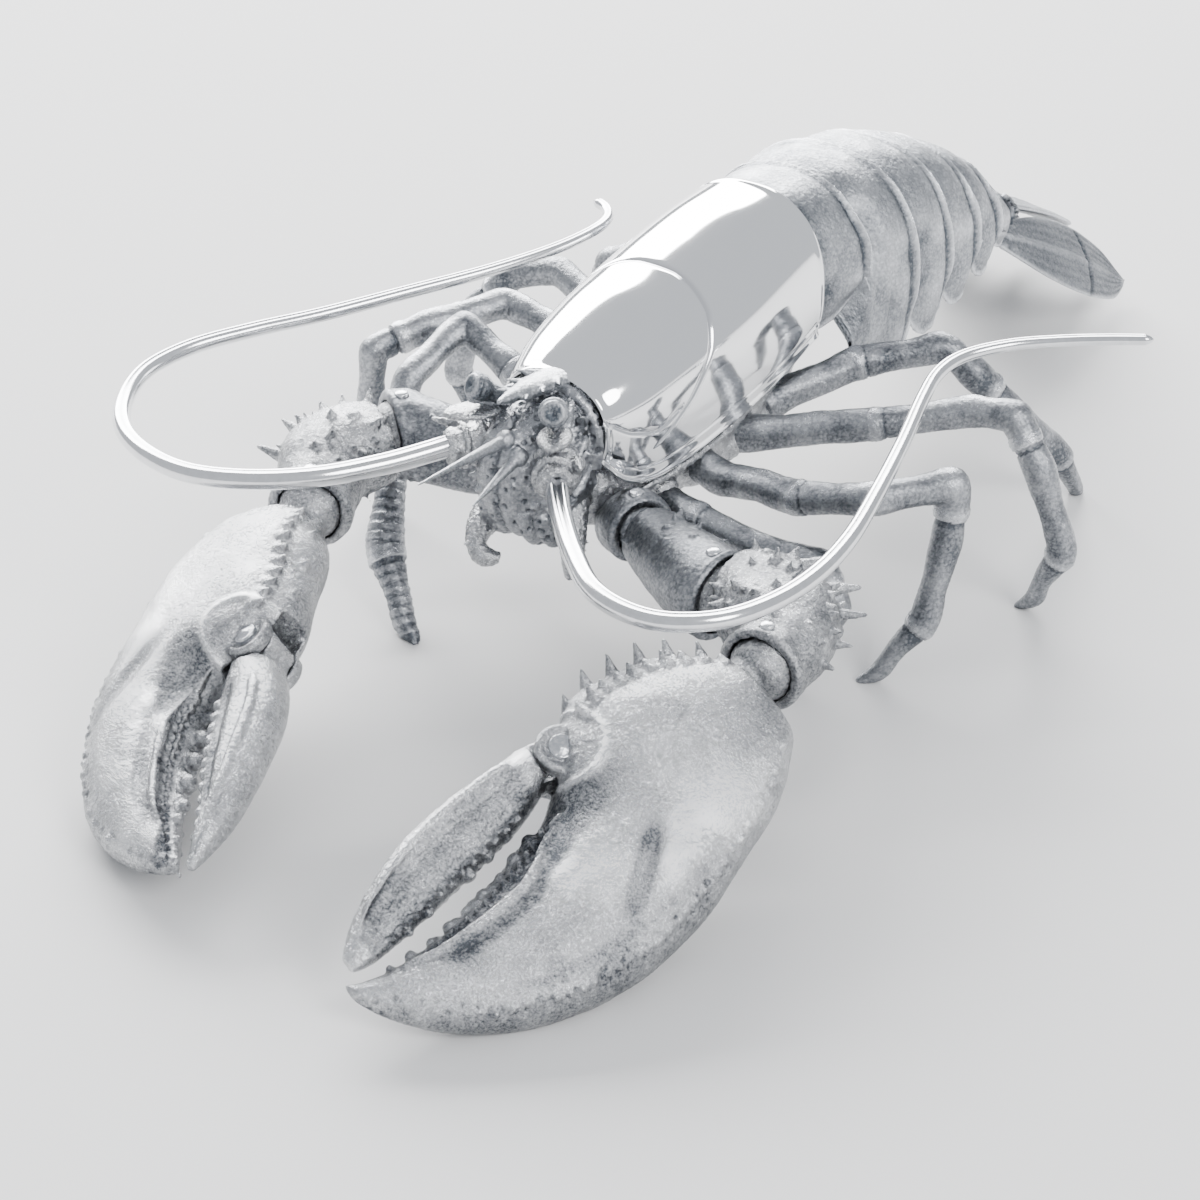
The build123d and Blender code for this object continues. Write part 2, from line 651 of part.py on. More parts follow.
def arm_hinges(side_name):
    """The shoulder, elbow and wrist of one arm."""
    data = ARMS[side_name]
    shoulder, elbow, wrist = (Vector(*data[k]) for k in ("shoulder", "elbow", "wrist"))
    reach = Vector(*data["carpus"][1]) - elbow
    claw = CLAWS[side_name]["frame"]
    into_wrist = (wrist - Vector(*data["carpus"][2])).normalized()
    return {
        "shoulder": BallHinge(shoulder, elbow - shoulder, BALL_RADII["shoulder"]),
        "elbow": BallHinge(elbow, reach + (elbow - shoulder).normalized() * 6, BALL_RADII["elbow"], reach),
        "wrist": BallHinge(wrist, into_wrist + claw.s, BALL_RADII["wrist"], claw.s),
    }


def arm(side_name, hinges):
    """The bracket, merus, carpus, palm and finger of one arm, and their pins."""
    data = ARMS[side_name]
    shoulder = hinges["shoulder"]
    inner = shoulder.at - shoulder.forward * 5 - UP * 2
    merus = limb(data["merus"], data["merus_sizes"])
    carpus = limb(data["carpus"], data["carpus_sizes"], 2.3)
    for base, tip in data["thorns"]:
        carpus += spike(base, tip, 2.8)
    made = {
        "shoulder_bracket": shoulder.cup(ball(inner, shoulder.outside - 1.2)),
        "merus": shoulder.tongue(hinges["elbow"].cup(merus)),
        "carpus": hinges["elbow"].tongue(hinges["wrist"].cup(solid_of(carpus))),
        "palm": palm(side_name, hinges["wrist"]),
        "dactyl": dactyl(side_name),
        "dactyl_pin": dactyl_pin(side_name),
    }
    for name, hinge in hinges.items():
        made[name + "_pin"] = hinge.pin()
    return made


def main():
    os.makedirs("parts", exist_ok=True)
    hinges = {name: arm_hinges(name) for name, side in SIDES}
    shoulders = [hinges[name]["shoulder"] for name in hinges]
    save(carapace(), "carapace")
    save(thorax(shoulders), "thorax")
    save(head(shoulders), "head")
    save(rostrum(), "rostrum")
    for name, side in SIDES:
        save(eye(side), "eye_" + name)
        save(antenna(name), "antenna_" + name)
        save(antenna_socket(name, side), "antenna_socket_" + name)
        save(antennal_scale(side), "antennal_scale_" + name)
        save(antennule(name), "antennule_" + name)
        save(maxilliped(name), "maxilliped_" + name)
        for number, path in enumerate(LEG_PATHS[name], 1):
            radii = STOUT_LEG_RADII if (name, number) == STOUT_LEG else LEG_RADII
            save(leg([mirrored(p, side) for p in path], radii), "leg_" + name + "_" + str(number))
        for node, shape in arm(name, hinges[name]).items():
            save(shape, node + "_" + name)
        for word in ("inner", "outer"):
            save(uropod(side, word), "uropod_" + word + "_" + name)
    for index in TAIL:
        save(tail_ring(index), "tail_ring_" + str(index))
    for index in TAIL_HINGES:
        save(tail_rivets(index), "tail_rivets_" + str(index))
    save(telson(), "telson")


main()
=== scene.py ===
"""Looks of the articulated silver lobster: cast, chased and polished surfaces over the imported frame."""

import json

import bmesh
import bpy
import numpy as np
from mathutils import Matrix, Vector
from mathutils.bvhtree import BVHTree

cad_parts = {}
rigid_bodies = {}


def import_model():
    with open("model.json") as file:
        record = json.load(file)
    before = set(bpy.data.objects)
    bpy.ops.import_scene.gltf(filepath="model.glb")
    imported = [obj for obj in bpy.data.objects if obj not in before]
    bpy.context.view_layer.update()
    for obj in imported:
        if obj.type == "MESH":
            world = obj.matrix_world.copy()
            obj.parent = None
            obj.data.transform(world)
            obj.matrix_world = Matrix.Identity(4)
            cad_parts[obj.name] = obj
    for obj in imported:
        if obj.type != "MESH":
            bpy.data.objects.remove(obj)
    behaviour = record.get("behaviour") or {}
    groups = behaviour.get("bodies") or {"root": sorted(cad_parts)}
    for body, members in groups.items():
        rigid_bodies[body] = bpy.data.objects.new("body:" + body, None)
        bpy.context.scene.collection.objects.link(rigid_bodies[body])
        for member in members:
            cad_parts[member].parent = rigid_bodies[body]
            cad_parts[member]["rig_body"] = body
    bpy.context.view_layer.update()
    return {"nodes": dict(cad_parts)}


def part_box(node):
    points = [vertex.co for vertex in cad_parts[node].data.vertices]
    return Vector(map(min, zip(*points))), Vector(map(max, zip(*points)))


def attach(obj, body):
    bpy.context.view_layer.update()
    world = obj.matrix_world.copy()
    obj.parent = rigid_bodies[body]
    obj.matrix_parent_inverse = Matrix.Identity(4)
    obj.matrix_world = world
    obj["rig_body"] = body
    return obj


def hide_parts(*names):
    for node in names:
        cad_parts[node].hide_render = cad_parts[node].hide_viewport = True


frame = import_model()
NODES = frame["nodes"]
# The layout's origin in the row frame, in mm
SHIFT = np.array([0.0, 60.5, 0.0])
SIDES = (("left", 1), ("right", -1))
UP = np.array([0.0, 0.0, 1.0])


def metres(points):
    """Points laid out in mm, in the row frame in metres."""
    return (np.asarray(points, float) + SHIFT) / 1000.0


def unit(v):
    """The vector, or each of a row of vectors, made one long."""
    v = np.asarray(v, float)
    return v / (np.linalg.norm(v, axis=-1, keepdims=True) + 1e-12)


def held(values):
    """The values kept from 0 to 1."""
    return np.clip(values, 0, 1)


def bell(distance, width):
    """A smooth rise to 1 at distance 0, down to 0.37 at width."""
    return np.exp(-((distance / width) ** 2))


def smooth(points, count):
    """A rounded curve through points, resampled to count points, evenly by knot."""
    p = np.asarray(points, float)
    knots = np.linspace(0, len(p) - 1, count)
    i = np.minimum(knots.astype(int), len(p) - 2)
    t = (knots - i)[:, None]
    last = len(p) - 1
    a, b, c, d = p[np.maximum(i - 1, 0)], p[i], p[i + 1], p[np.minimum(i + 2, last)]
    return 0.5 * (2 * b + (c - a) * t + (2 * a - 5 * b + 4 * c - d) * t**2 + (3 * b - a - 3 * c + d) * t**3)


def even(points, count):
    """A rounded curve through points, resampled evenly by length."""
    p = smooth(points, 20 * len(points))
    run = np.concatenate([[0], np.cumsum(np.linalg.norm(np.diff(p, axis=0), axis=1))])
    at = np.linspace(0, run[-1], count)
    return np.stack([np.interp(at, run, p[:, k]) for k in range(p.shape[1])], 1)


# Seeded noise
def lattice(i, j, k, seed):
    """A fixed number from 0 to 1 for each whole-numbered cell."""
    h = (i * 73856093) ^ (j * 19349663) ^ (k * 83492791) ^ (seed * 26544357)
    h = ((h ^ (h >> 13)) * 1274126177) & 0x7FFFFFFF
    return ((h ^ (h >> 11)) & 0xFFFF) / 65535.0


def noise(p, size, seed):
    """Smooth noise from -1 to 1 at points p in mm."""
    q = p / size
    cell = np.floor(q).astype(np.int64)
    f = q - cell
    f = f * f * (3 - 2 * f)
    total = np.zeros(len(p))
    for dx in (0, 1):
        for dy in (0, 1):
            for dz in (0, 1):
                w = np.abs(1 - dx - f[:, 0]) * np.abs(1 - dy - f[:, 1]) * np.abs(1 - dz - f[:, 2])
                total += w * lattice(cell[:, 0] + dx, cell[:, 1] + dy, cell[:, 2] + dz, seed)
    return total * 2 - 1


def granules(p, size, seed, fill=0.62):
    """Rounded grains from 0 to 1, about size apart, at points p in mm."""
    q = p / size
    cell = np.floor(q).astype(np.int64)
    best = np.zeros(len(p))
    for dx in (-1, 0, 1):
        for dy in (-1, 0, 1):
            for dz in (-1, 0, 1):
                c = cell + np.array([dx, dy, dz])
                centre = c + 0.5 + 0.8 * (
                    np.stack([lattice(c[:, 0], c[:, 1], c[:, 2], seed + n) for n in (1, 2, 3)], 1) - 0.5
                )
                r = fill * (0.5 + 0.5 * lattice(c[:, 0], c[:, 1], c[:, 2], seed + 4))
                d = np.linalg.norm(q - centre, axis=1) / r
                best = np.maximum(best, np.sqrt(held(1 - d * d)))
    return best


# Materials. STAIN is the share of the broad cloudiness beside the fine grain, and CLOUDS its scale to the
# grain's. DENT_DEPTH is in metres.
STAIN = 0.45
CLOUDS = 0.06
DENT_DEPTH = 0.0004


def shaded(name):
    """A new material, its node tree and its shader."""
    material = bpy.data.materials.new(name)
    material.use_nodes = True
    return material, material.node_tree, material.node_tree.nodes["Principled BSDF"]


def silver(name, bright, dark, rough, grain_scale, bump, relief=0.5):
    """Silver whose colour and polish follow the relief tone stored in the mesh, with a fine grain over it.
    That tone holds worn heights and sunk hollows, and on some pieces painted light and shade.
    """
    material, tree, shader = shaded(name)
    link = tree.links.new
    place = tree.nodes.new("ShaderNodeTexCoord")
    worn = tree.nodes.new("ShaderNodeAttribute")
    worn.attribute_name = "relief"

    def cloud(scale, detail):
        """A noise texture over the piece."""
        node = tree.nodes.new("ShaderNodeTexNoise")
        node.inputs["Scale"].default_value = scale
        node.inputs["Detail"].default_value = detail
        link(place.outputs["Object"], node.inputs["Vector"])
        return node

    def maths(operation, source, number):
        """A maths node fed by a socket, with a number beside it."""
        node = tree.nodes.new("ShaderNodeMath")
        node.operation = operation
        link(source, node.inputs[0])
        node.inputs[1].default_value = number
        return node

    fine = cloud(grain_scale, 6.0)
    fine.inputs["Roughness"].default_value = 0.65
    broad = cloud(grain_scale * CLOUDS, 3.0)
    level = maths("ADD", worn.outputs["Fac"], -0.5 * (relief + relief * STAIN))
    blend = maths("MULTIPLY_ADD", fine.outputs["Fac"], relief)
    link(level.outputs[0], blend.inputs[2])
    stain = maths("MULTIPLY_ADD", broad.outputs["Fac"], relief * STAIN)
    link(blend.outputs[0], stain.inputs[2])
    ramp = tree.nodes.new("ShaderNodeValToRGB")
    ramp.color_ramp.elements[0].position = 0.0
    ramp.color_ramp.elements[0].color = (*dark, 1)
    ramp.color_ramp.elements[1].position = 0.85
    ramp.color_ramp.elements[1].color = (*bright, 1)
    link(stain.outputs[0], ramp.inputs[0])
    link(ramp.outputs[0], shader.inputs["Base Color"])
    polish = tree.nodes.new("ShaderNodeMapRange")
    for label, value in (("From Min", 0.0), ("From Max", 0.9), ("To Min", rough[1]), ("To Max", rough[0])):
        polish.inputs[label].default_value = value
    link(stain.outputs[0], polish.inputs["Value"])
    link(polish.outputs[0], shader.inputs["Roughness"])
    shader.inputs["Metallic"].default_value = 1.0
    if bump:
        dent = tree.nodes.new("ShaderNodeBump")
        dent.inputs["Strength"].default_value = bump
        dent.inputs["Distance"].default_value = DENT_DEPTH
        link(fine.outputs["Fac"], dent.inputs["Height"])
        link(dent.outputs[0], shader.inputs["Normal"])
    return material


# Name, worn and sunk colours, roughness where worn and where sunk, grain, bump, and depth of the tones
MIRROR = silver("MirrorSilver", (0.95, 0.955, 0.965), (0.60, 0.61, 0.64), (0.07, 0.14), 60.0, 0.0, 0.12)
ROD = silver("FeelerSilver", (0.86, 0.865, 0.88), (0.30, 0.315, 0.34), (0.13, 0.26), 300.0, 0.10, 0.4)
FROST = silver("FrostedSilver", (0.96, 0.967, 0.98), (0.085, 0.093, 0.106), (0.14, 0.38), 1600.0, 0.75, 0.95)
SATIN = silver("SatinSilver", (0.79, 0.805, 0.835), (0.085, 0.098, 0.115), (0.22, 0.44), 1500.0, 0.62, 0.70)
# The next silver is a darker copy of the others, for the legs, the upper arms, their brackets and the head:
# painted shade.
PAINTED_SHADE_SILVER = silver("PaintedShadeSilver", (0.80, 0.815, 0.845), (0.085, 0.094, 0.108), (0.16, 0.38), 1300.0, 0.55, 0.48)
PINS = silver("PinSilver", (0.88, 0.89, 0.91), (0.30, 0.32, 0.35), (0.14, 0.35), 900.0, 0.2, 0.35)


def set_relief(mesh, values):
    """Stores each vertex's tone, from 0 in the hollows to 1 on the heights, with any painted light or shade a
    piece adds.
    """
    store = mesh.attributes.get("relief") or mesh.attributes.new("relief", "FLOAT", "POINT")
    store.data.foreach_set("value", np.asarray(values, np.float32))


def piece(name, mesh, body, material, nodes):
    """A shaded object that rides on a body of the frame and stands for its nodes."""
    obj = bpy.data.objects.new(name, mesh)
    bpy.context.scene.collection.objects.link(obj)
    mesh.materials.clear()
    mesh.materials.append(material)
    mesh.polygons.foreach_set("use_smooth", [True] * len(mesh.polygons))
    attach(obj, body)
    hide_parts(*nodes)


def sheet_mesh(name, grid, closed_u=False, relief=None, wall=None, cap=False):
    """A quad mesh from a (rows, columns, 3) grid in mm. wall thickens it inwards, along -normal."""
    rows, cols = grid.shape[:2]
    verts = grid.reshape(-1, 3)
    number = np.arange(rows * cols).reshape(rows, cols)
    if closed_u:
        number = np.concatenate([number, number[:, :1]], 1)
    quads = np.stack([number[:-1, :-1], number[:-1, 1:], number[1:, 1:], number[1:, :-1]], -1).reshape(-1, 4)
    worn = np.full(len(verts), 0.5) if relief is None else np.asarray(relief, float).reshape(-1)
    faces = quads.tolist()
    if wall is not None:
        inner = verts - normals(grid).reshape(-1, 3) * wall
        count = len(verts)
        faces += (quads[:, ::-1] + count).tolist()
        border = list(number[0, :-1]) + list(number[:-1, -1])
        border += list(number[-1, :0:-1]) + list(number[:0:-1, 0])
        for a, b in zip(border, border[1:] + border[:1]):
            faces.append([int(b), int(a), int(a) + count, int(b) + count])
        verts = np.concatenate([verts, inner])
        # The inner face takes 0.4 of the outer face's tone, so it is darker.
        worn = np.concatenate([worn, worn * 0.4])
    if cap:
        faces.append(number[0, :-1][::-1].tolist())
        faces.append(number[-1, :-1].tolist())
    mesh = bpy.data.meshes.new(name)
    mesh.from_pydata(metres(verts).tolist(), [], faces)
    set_relief(mesh, worn)
    mesh.update()
    return mesh


def normals(grid):
    """Outward normals of a (rows, columns, 3) grid."""
    return unit(np.cross(np.gradient(grid, axis=1), np.gradient(grid, axis=0)))


def circle(centre, across, up, radius, turn):
    """Points about a centre, at the angles in turn."""
    return centre + np.outer(np.cos(turn), across) * radius + np.outer(np.sin(turn), up) * radius


def tube(path, radii, sides=24, groove=0.0):
    """A (rows, sides, 3) grid of rings along a path, with transported frames. Radii are numbers or pairs."""
    p = np.asarray(path, float)
    tangent = unit(np.gradient(p, axis=0))
    across = np.cross(tangent[0], UP)
    across = unit(across) if np.linalg.norm(across) > 0.1 else np.array([1.0, 0, 0])
    radii = np.asarray(radii, float)
    radii = radii if radii.ndim == 2 else np.stack([radii, radii], 1)
    angle = np.linspace(0, 2 * np.pi, sides, endpoint=False)
    from_top = (angle - np.pi / 2 + np.pi) % (2 * np.pi) - np.pi
    shape = 1 - groove * bell(from_top, 0.28)
    grid = []
    for k, centre in enumerate(p):
        across = unit(across - tangent[k] * (across @ tangent[k]))
        up = np.cross(across, tangent[k])
        ring = centre + np.outer(np.cos(angle) * shape * radii[k, 0], across)
        grid.append(ring + np.outer(np.sin(angle) * shape * radii[k, 1], up))
    return np.array(grid)


# Cast and chased pieces: grown from the frame's own solids, and kept this far above the table, in mm
ABOVE_TABLE = 0.02


def blob(builder, centre, radius, squash=1.0, axis=UP, rings=8, sides=14):
    """A rounded boss."""
    axis = unit(axis)
    across = unit(np.cross(axis, [0.3, 0.5, 0.8]))
    up = np.cross(axis, across)
    profile = np.linspace(0, np.pi, rings)
    grid = []
    for t in profile:
        turn = np.linspace(0, 2 * np.pi, sides, endpoint=False)
        flat = np.outer(np.cos(turn), across) + np.outer(np.sin(turn), up)
        grid.append(centre + flat * radius * max(np.sin(t), 0.02) - axis * radius * squash * np.cos(t))
    builder.append(np.array(grid))


def thorn(builder, base, tip, radius, sides=10):
    """A horn-shaped thorn, broad at its foot."""
    base, tip = np.asarray(base, float), np.asarray(tip, float)
    share = np.array([-0.25, 0.0, 0.2, 0.45, 0.7, 0.9, 1.0])
    size = radius * np.array([1.15, 1.0, 0.72, 0.5, 0.34, 0.2, 0.05])
    path = base + (tip - base) * share[:, None]
    builder.append(tube(path, size, sides))


def ridge(builder, path, radius, count=40, taper=True):
    """A raised rounded line along a path."""
    p = even(path, count)
    share = np.linspace(0, 1, count)
    size = radius * (np.clip(np.sin(np.pi * share) * 3, 0.12, 1) if taper else np.ones(count))
    builder.append(tube(p, size, 12))


def tube_faces(grid, first=0):
    """Quads round a (rows, columns, 3) tube, whose first vertex has the number first."""
    rows, cols = grid.shape[:2]
    number = first + np.arange(rows * cols).reshape(rows, cols)
    beside = np.roll(number, -1, 1)
    return np.stack([number[:-1], beside[:-1], beside[1:], number[1:]], -1).reshape(-1, 4).tolist()


def vertex_data(mesh, kind):
    """A row of three numbers for each vertex."""
    data = np.zeros(len(mesh.vertices) * 3)
    mesh.vertices.foreach_get(kind, data)
    return data.reshape(-1, 3)


def cast(node, extras=(), voxel=0.55, grain=(0.30, 2.2), rough_shape=0.25, material=FROST, seed=1,
         polish=None, marks=None, tone=0.0):
    """Replaces a node with one remeshed casting: the frame's solid, extra relief, then seeded chasing."""
    build = bmesh.new()
    build.from_mesh(NODES[node].data)
    for grid in extras:
        cols = grid.shape[1]
        verts = [build.verts.new(Vector(q)) for q in metres(grid.reshape(-1, 3))]
        for quad in tube_faces(grid):
            build.faces.new([verts[k] for k in quad])
        build.faces.new(verts[:cols][::-1])
        build.faces.new(verts[-cols:])
    bmesh.ops.recalc_face_normals(build, faces=build.faces)
    raw = bpy.data.meshes.new(node + "_raw")
    build.to_mesh(raw)
    build.free()
    temp = bpy.data.objects.new(node + "_temp", raw)
    bpy.context.scene.collection.objects.link(temp)
    remesh = temp.modifiers.new("skin", "REMESH")
    remesh.mode = "VOXEL"
    remesh.voxel_size = voxel / 1000.0
    relax = temp.modifiers.new("relax", "SMOOTH")
    relax.factor = 0.5
    relax.iterations = 2
    bpy.context.view_layer.update()
    mesh = bpy.data.meshes.new_from_object(temp.evaluated_get(bpy.context.evaluated_depsgraph_get()))
    bpy.data.objects.remove(temp)
    mesh.name = node + "_cast"
    at = vertex_data(mesh, "co") * 1000.0 - SHIFT
    no = vertex_data(mesh, "normal")
    height, size = grain
    calm = np.ones(len(at)) if polish is None else polish(at, no)
    lumps = granules(at, size, seed)
    fine = granules(at, size * 0.5, seed + 50)
    form = noise(at, 9.0, seed + 7) * 0.6 + noise(at, 4.0, seed + 8) * 0.4
    cut = np.zeros(len(at)) if marks is None else marks(at, no)
    rise = calm * (height * (lumps + 0.35 * fine - 0.45)) + rough_shape * form * calm + cut
    at = at + no * rise[:, None]
    at[:, 2] = np.maximum(at[:, 2], ABOVE_TABLE)
    mesh.vertices.foreach_set("co", metres(at).reshape(-1))
    worn = 0.28 + tone + calm * (0.16 * lumps + 0.10 * fine) + (1 - calm) * 0.34 + 0.12 * form
    # The last term lightens faces turned up and darkens faces turned down: painted light from above.
    worn += 0.7 * np.clip(cut, -0.34, 0.50) + 0.10 * np.clip(no[:, 2], -1, 1)
    set_relief(mesh, held(worn))
    mesh.update()
    piece(node + "_cast", mesh, NODES[node]["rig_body"], material, [node])


def surface_of(node):
    """A ray target of one of the frame's solids, in mm of the layout."""
    build = bmesh.new()
    build.from_mesh(NODES[node].data)
    for v in build.verts:
        v.co = Vector(np.array(v.co) * 1000.0 - SHIFT)
    tree = BVHTree.FromBMesh(build)
    build.free()
    return tree


def landed(tree, start, direction):
    """Where a ray meets a surface: (point, normal), or None."""
    point, normal, _, _ = tree.ray_cast(Vector(start), Vector(direction), 200.0)
    return None if point is None else (np.array(point), np.array(normal))


# Polished shell: y, half width, top, waist and foot of each section
SHELL = [
    (-125.0, 17.0, 88.0, 74.0, 66.0), (-118.0, 20.5, 91.5, 74.0, 57.5), (-108.0, 23.5, 95.0, 75.0, 54.0),
    (-93.0, 25.5, 99.0, 76.0, 54.5), (-78.0, 26.5, 101.5, 77.0, 56.0), (-60.0, 27.0, 104.5, 78.0, 58.0),
    (-42.0, 26.5, 107.0, 79.0, 60.5), (-25.0, 25.5, 108.0, 80.0, 64.0),
]
SHELL_WALL = 1.3
RING_WALL = 1.35
# The neck groove as y at each share of the way from the middle to the foot, and its branch as share at each y
GROOVE = ([0.0, 0.1, 0.2, 0.35, 0.5, 0.65, 0.8], [-75.5, -75.5, -76.5, -79, -84.5, -94.5, -110])
BRANCH = ([-125, -118, -108, -98], [0.62, 0.66, 0.70, 0.66])


def arch_rows(sections, rows, cols, foot_lift=None):
    """An arched grid through sections. Columns run from the right foot over the top to the left."""
    s = smooth(sections, rows)
    angle = np.linspace(1, 0, 15) * np.pi
    turn = np.cos(angle)
    rise = np.abs(np.sin(angle)) ** 0.88
    reach = np.sign(turn) * np.abs(turn) ** 0.88
    grid = []
    for k, (y, half, top, waist, foot) in enumerate(s):
        if foot_lift is not None:
            foot = foot + foot_lift[k]
        low = [(-0.90 * half, foot), (-0.985 * half, (foot + waist) / 2)]
        over = [(half * a, waist + (top - waist) * b) for a, b in zip(reach, rise)]
        high = [(-x, z) for x, z in low[::-1]]
        line = even(np.array(low + over + high), cols)
        grid.append(np.stack([line[:, 0], np.full(cols, y), line[:, 1]], 1))
    return np.array(grid)


def make_carapace():
    """The polished shell, with its neck groove, its branch and its rolled rims."""
    rows, cols = 330, 360
    grid = arch_rows(SHELL, rows, cols)
    normal = normals(grid)
    y = grid[:, :, 1]
    across = np.linspace(-1, 1, cols)[None, :] * np.ones((rows, 1))
    side = np.abs(across)
    # The neck groove sweeps forward down each side, with a branch to the front
    neck = np.interp(side, GROOVE[0], GROOVE[1])
    line = bell(y - neck, 0.95) * held((0.80 - side) * 30)
    branch_side = np.interp(y, BRANCH[0], BRANCH[1])
    branch = bell(side - branch_side, 0.014) * held((BRANCH[0][-1] - y) / 2)
    # The rolled lower rim and its line
    rim = bell(side - 0.985, 0.018)
    above = bell(side - 0.90, 0.010) * held((y + 122) / 10)
    front = bell(y + 124.3, 1.1)
    rear = bell(y + 26.2, 1.0)
    rise = -0.55 * np.maximum(line, branch) + 0.75 * rim - 0.45 * above + 0.6 * front + 0.35 * rear
    swell = 0.5 * noise(grid.reshape(-1, 3), 38.0, 3).reshape(rows, cols)
    grid = grid + normal * (rise + swell * 0.35)[..., None]
    worn = 0.85 - 0.55 * np.maximum(line, branch) - 0.3 * above
    mesh = sheet_mesh("carapace_shell", grid, relief=worn, wall=SHELL_WALL)
    piece("carapace_shell", mesh, "trunk", MIRROR, ["carapace"])


# Tail rings, laid out as the shell is
TAIL = {
    1: [(-33, 22.3, 103.6, 80, 66), (-26, 22.9, 104.6, 80, 62),
        (-14, 25.5, 105.2, 79, 61), (-4, 27.0, 105.4, 78, 62)],
    2: [(-12, 21.2, 101.0, 77, 60), (-4, 22.3, 102.2, 76, 53),
        (6, 29.4, 104.4, 75, 43), (18, 31.3, 104.0, 74, 42)],
    3: [(9, 26.4, 100.6, 73, 58), (18, 27.2, 100.6, 72, 48),
        (30, 29.4, 101.2, 70, 42), (41, 30.0, 98.8, 68, 42)],
    4: [(32, 26.2, 96.4, 68, 54), (41, 26.8, 95.0, 67, 47),
        (51, 28.4, 95.0, 65, 43), (61, 28.6, 91.0, 63, 44)],
    5: [(52, 24.8, 89.6, 63, 55), (61, 25.4, 87.0, 62, 51),
        (70, 26.6, 86.4, 60, 45), (79, 26.2, 80.8, 58, 46)],
    6: [(71, 22.4, 80.6, 58, 54), (79, 22.8, 76.8, 57, 51),
        (90, 22.0, 71.0, 53, 46), (101, 19.0, 61.5, 51, 46)],
}

# How far the foot of a ring is lifted along its length, which rounds its lobes: shares, then lifts
LOBE = ([0, 0.30, 0.46, 0.56, 0.64, 0.74, 0.84, 0.91, 0.96, 1.0], [15, 14, 9, 4, 1.2, 0, 0.7, 2.8, 5.8, 10.5])
NARROW_LOBE = ([0, 0.45, 0.60, 0.75, 1.0], [5, 4, 5, 8, 12.5])
BROAD_LOBE = ([0, 0.03, 0.10, 0.20, 0.33, 0.60, 0.87, 0.93, 1.0],
              [-5, -9.5, -11.4, -10.7, -7.5, -0.5, 0, 1.8, 9])
# The second ring's lobes stand outside the first ring's, this far from the middle
SKIRT_OUT = 29.5


def make_tail_ring(index):
    """An arched ring with a raised rear edge, a channel before it and rounded lobes at its feet."""
    rows, cols = 110, 300
    share = np.linspace(0, 1, rows)
    lift = {1: NARROW_LOBE, 2: BROAD_LOBE}.get(index, LOBE)
    grid = arch_rows(TAIL[index], rows, cols, np.interp(share, lift[0], lift[1]))
    normal = normals(grid)
    across = np.abs(np.linspace(-1, 1, cols))[None, :] * np.ones((rows, 1))
    along = share[:, None] * np.ones((1, cols))
    length = TAIL[index][-1][0] - TAIL[index][0][0]
    back = (1 - along) * length
    # The rear edge sweeps back down the sides into a rounded lobe
    low = held((across - 0.55) / 0.45)
    grid[:, :, 1] += along**2 * (3.4 * low * (1.15 - low) * 2.0)
    if index == 2:
        skirt = held((across - 0.45 - 0.30 * held(1 - along / 0.34)) / 0.20)
        skirt = skirt * skirt * (3 - 2 * skirt)
        width = np.interp(share, np.linspace(0, 1, len(TAIL[2])), [row[1] for row in TAIL[2]])[:, None]
        grid[:, :, 0] += np.sign(grid[:, :, 0]) * skirt * np.clip(SKIRT_OUT - width, 0, None)
    edge = bell(back, 1.1) + 0.9 * bell((1 - across) * 75, 1.4) * (along > 0.3)
    channel = bell(back - 2.7, 0.9)
    second = bell(back - 5.4, 1.3) * 0.6
    flat = grid.reshape(-1, 3)
    grains = granules(flat, 1.3, 30 + index).reshape(rows, cols)
    form = noise(flat, 7.0, 60 + index).reshape(rows, cols)
    pits = granules(flat, 0.9, 90 + index, 0.5).reshape(rows, cols)
    # front marks a band just behind the edge of the ring in front, used only to paint shade there.
    front = bell(along - 0.42, 0.10)
    flank = 0.35 + 0.65 * held((across - 0.22) / 0.30)
    edge, channel = edge * flank, channel * flank
    rise = 0.85 * edge - 0.55 * channel + 0.25 * second + 0.10 * (grains - 0.5) + 0.08 * pits + 0.30 * form
    grid = grid + normal * rise[..., None]
    worn = 0.38 + 0.50 * edge - 0.26 * channel + 0.10 * second + 0.16 * (grains - 0.5) + 0.16 * form
    # Darkening that band is painted shade below the edge of the ring in front; darkening towards the feet is
    # painted shade on the lower sides.
    worn = worn - (0.16 * front if index != 2 else 0) - 0.06 * low
    mesh = sheet_mesh("tail_ring_%d_shell" % index, grid, relief=held(worn), wall=RING_WALL)
    body = NODES["tail_ring_%d" % index]["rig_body"]
    piece("tail_ring_%d_shell" % index, mesh, body, SATIN, ["tail_ring_%d" % index])


# Fan blades: root, tip, the way each faces, half widths from root to tip, and half thickness
FAN_BLADES = {
    "telson": ((0, 95, 57), (0, 175, 16), (0, 0.46, 0.89), (8, 11, 12.5, 13, 12.6, 10.5, 5), 2.2),
    "inner": ((6.5, 97, 46), (13, 173, 7), (0.38, 0.40, 0.83), (3.2, 6, 7.8, 8.6, 8.6, 7, 3.5), 1.4),
    "outer": (
        (11.4, 98.5, 46), (30.5, 164, 6.5), (0.76, 0.2, 0.62), (2.4, 7, 11.2, 13.2, 13.2, 10.6, 5), 1.4
    ),
}


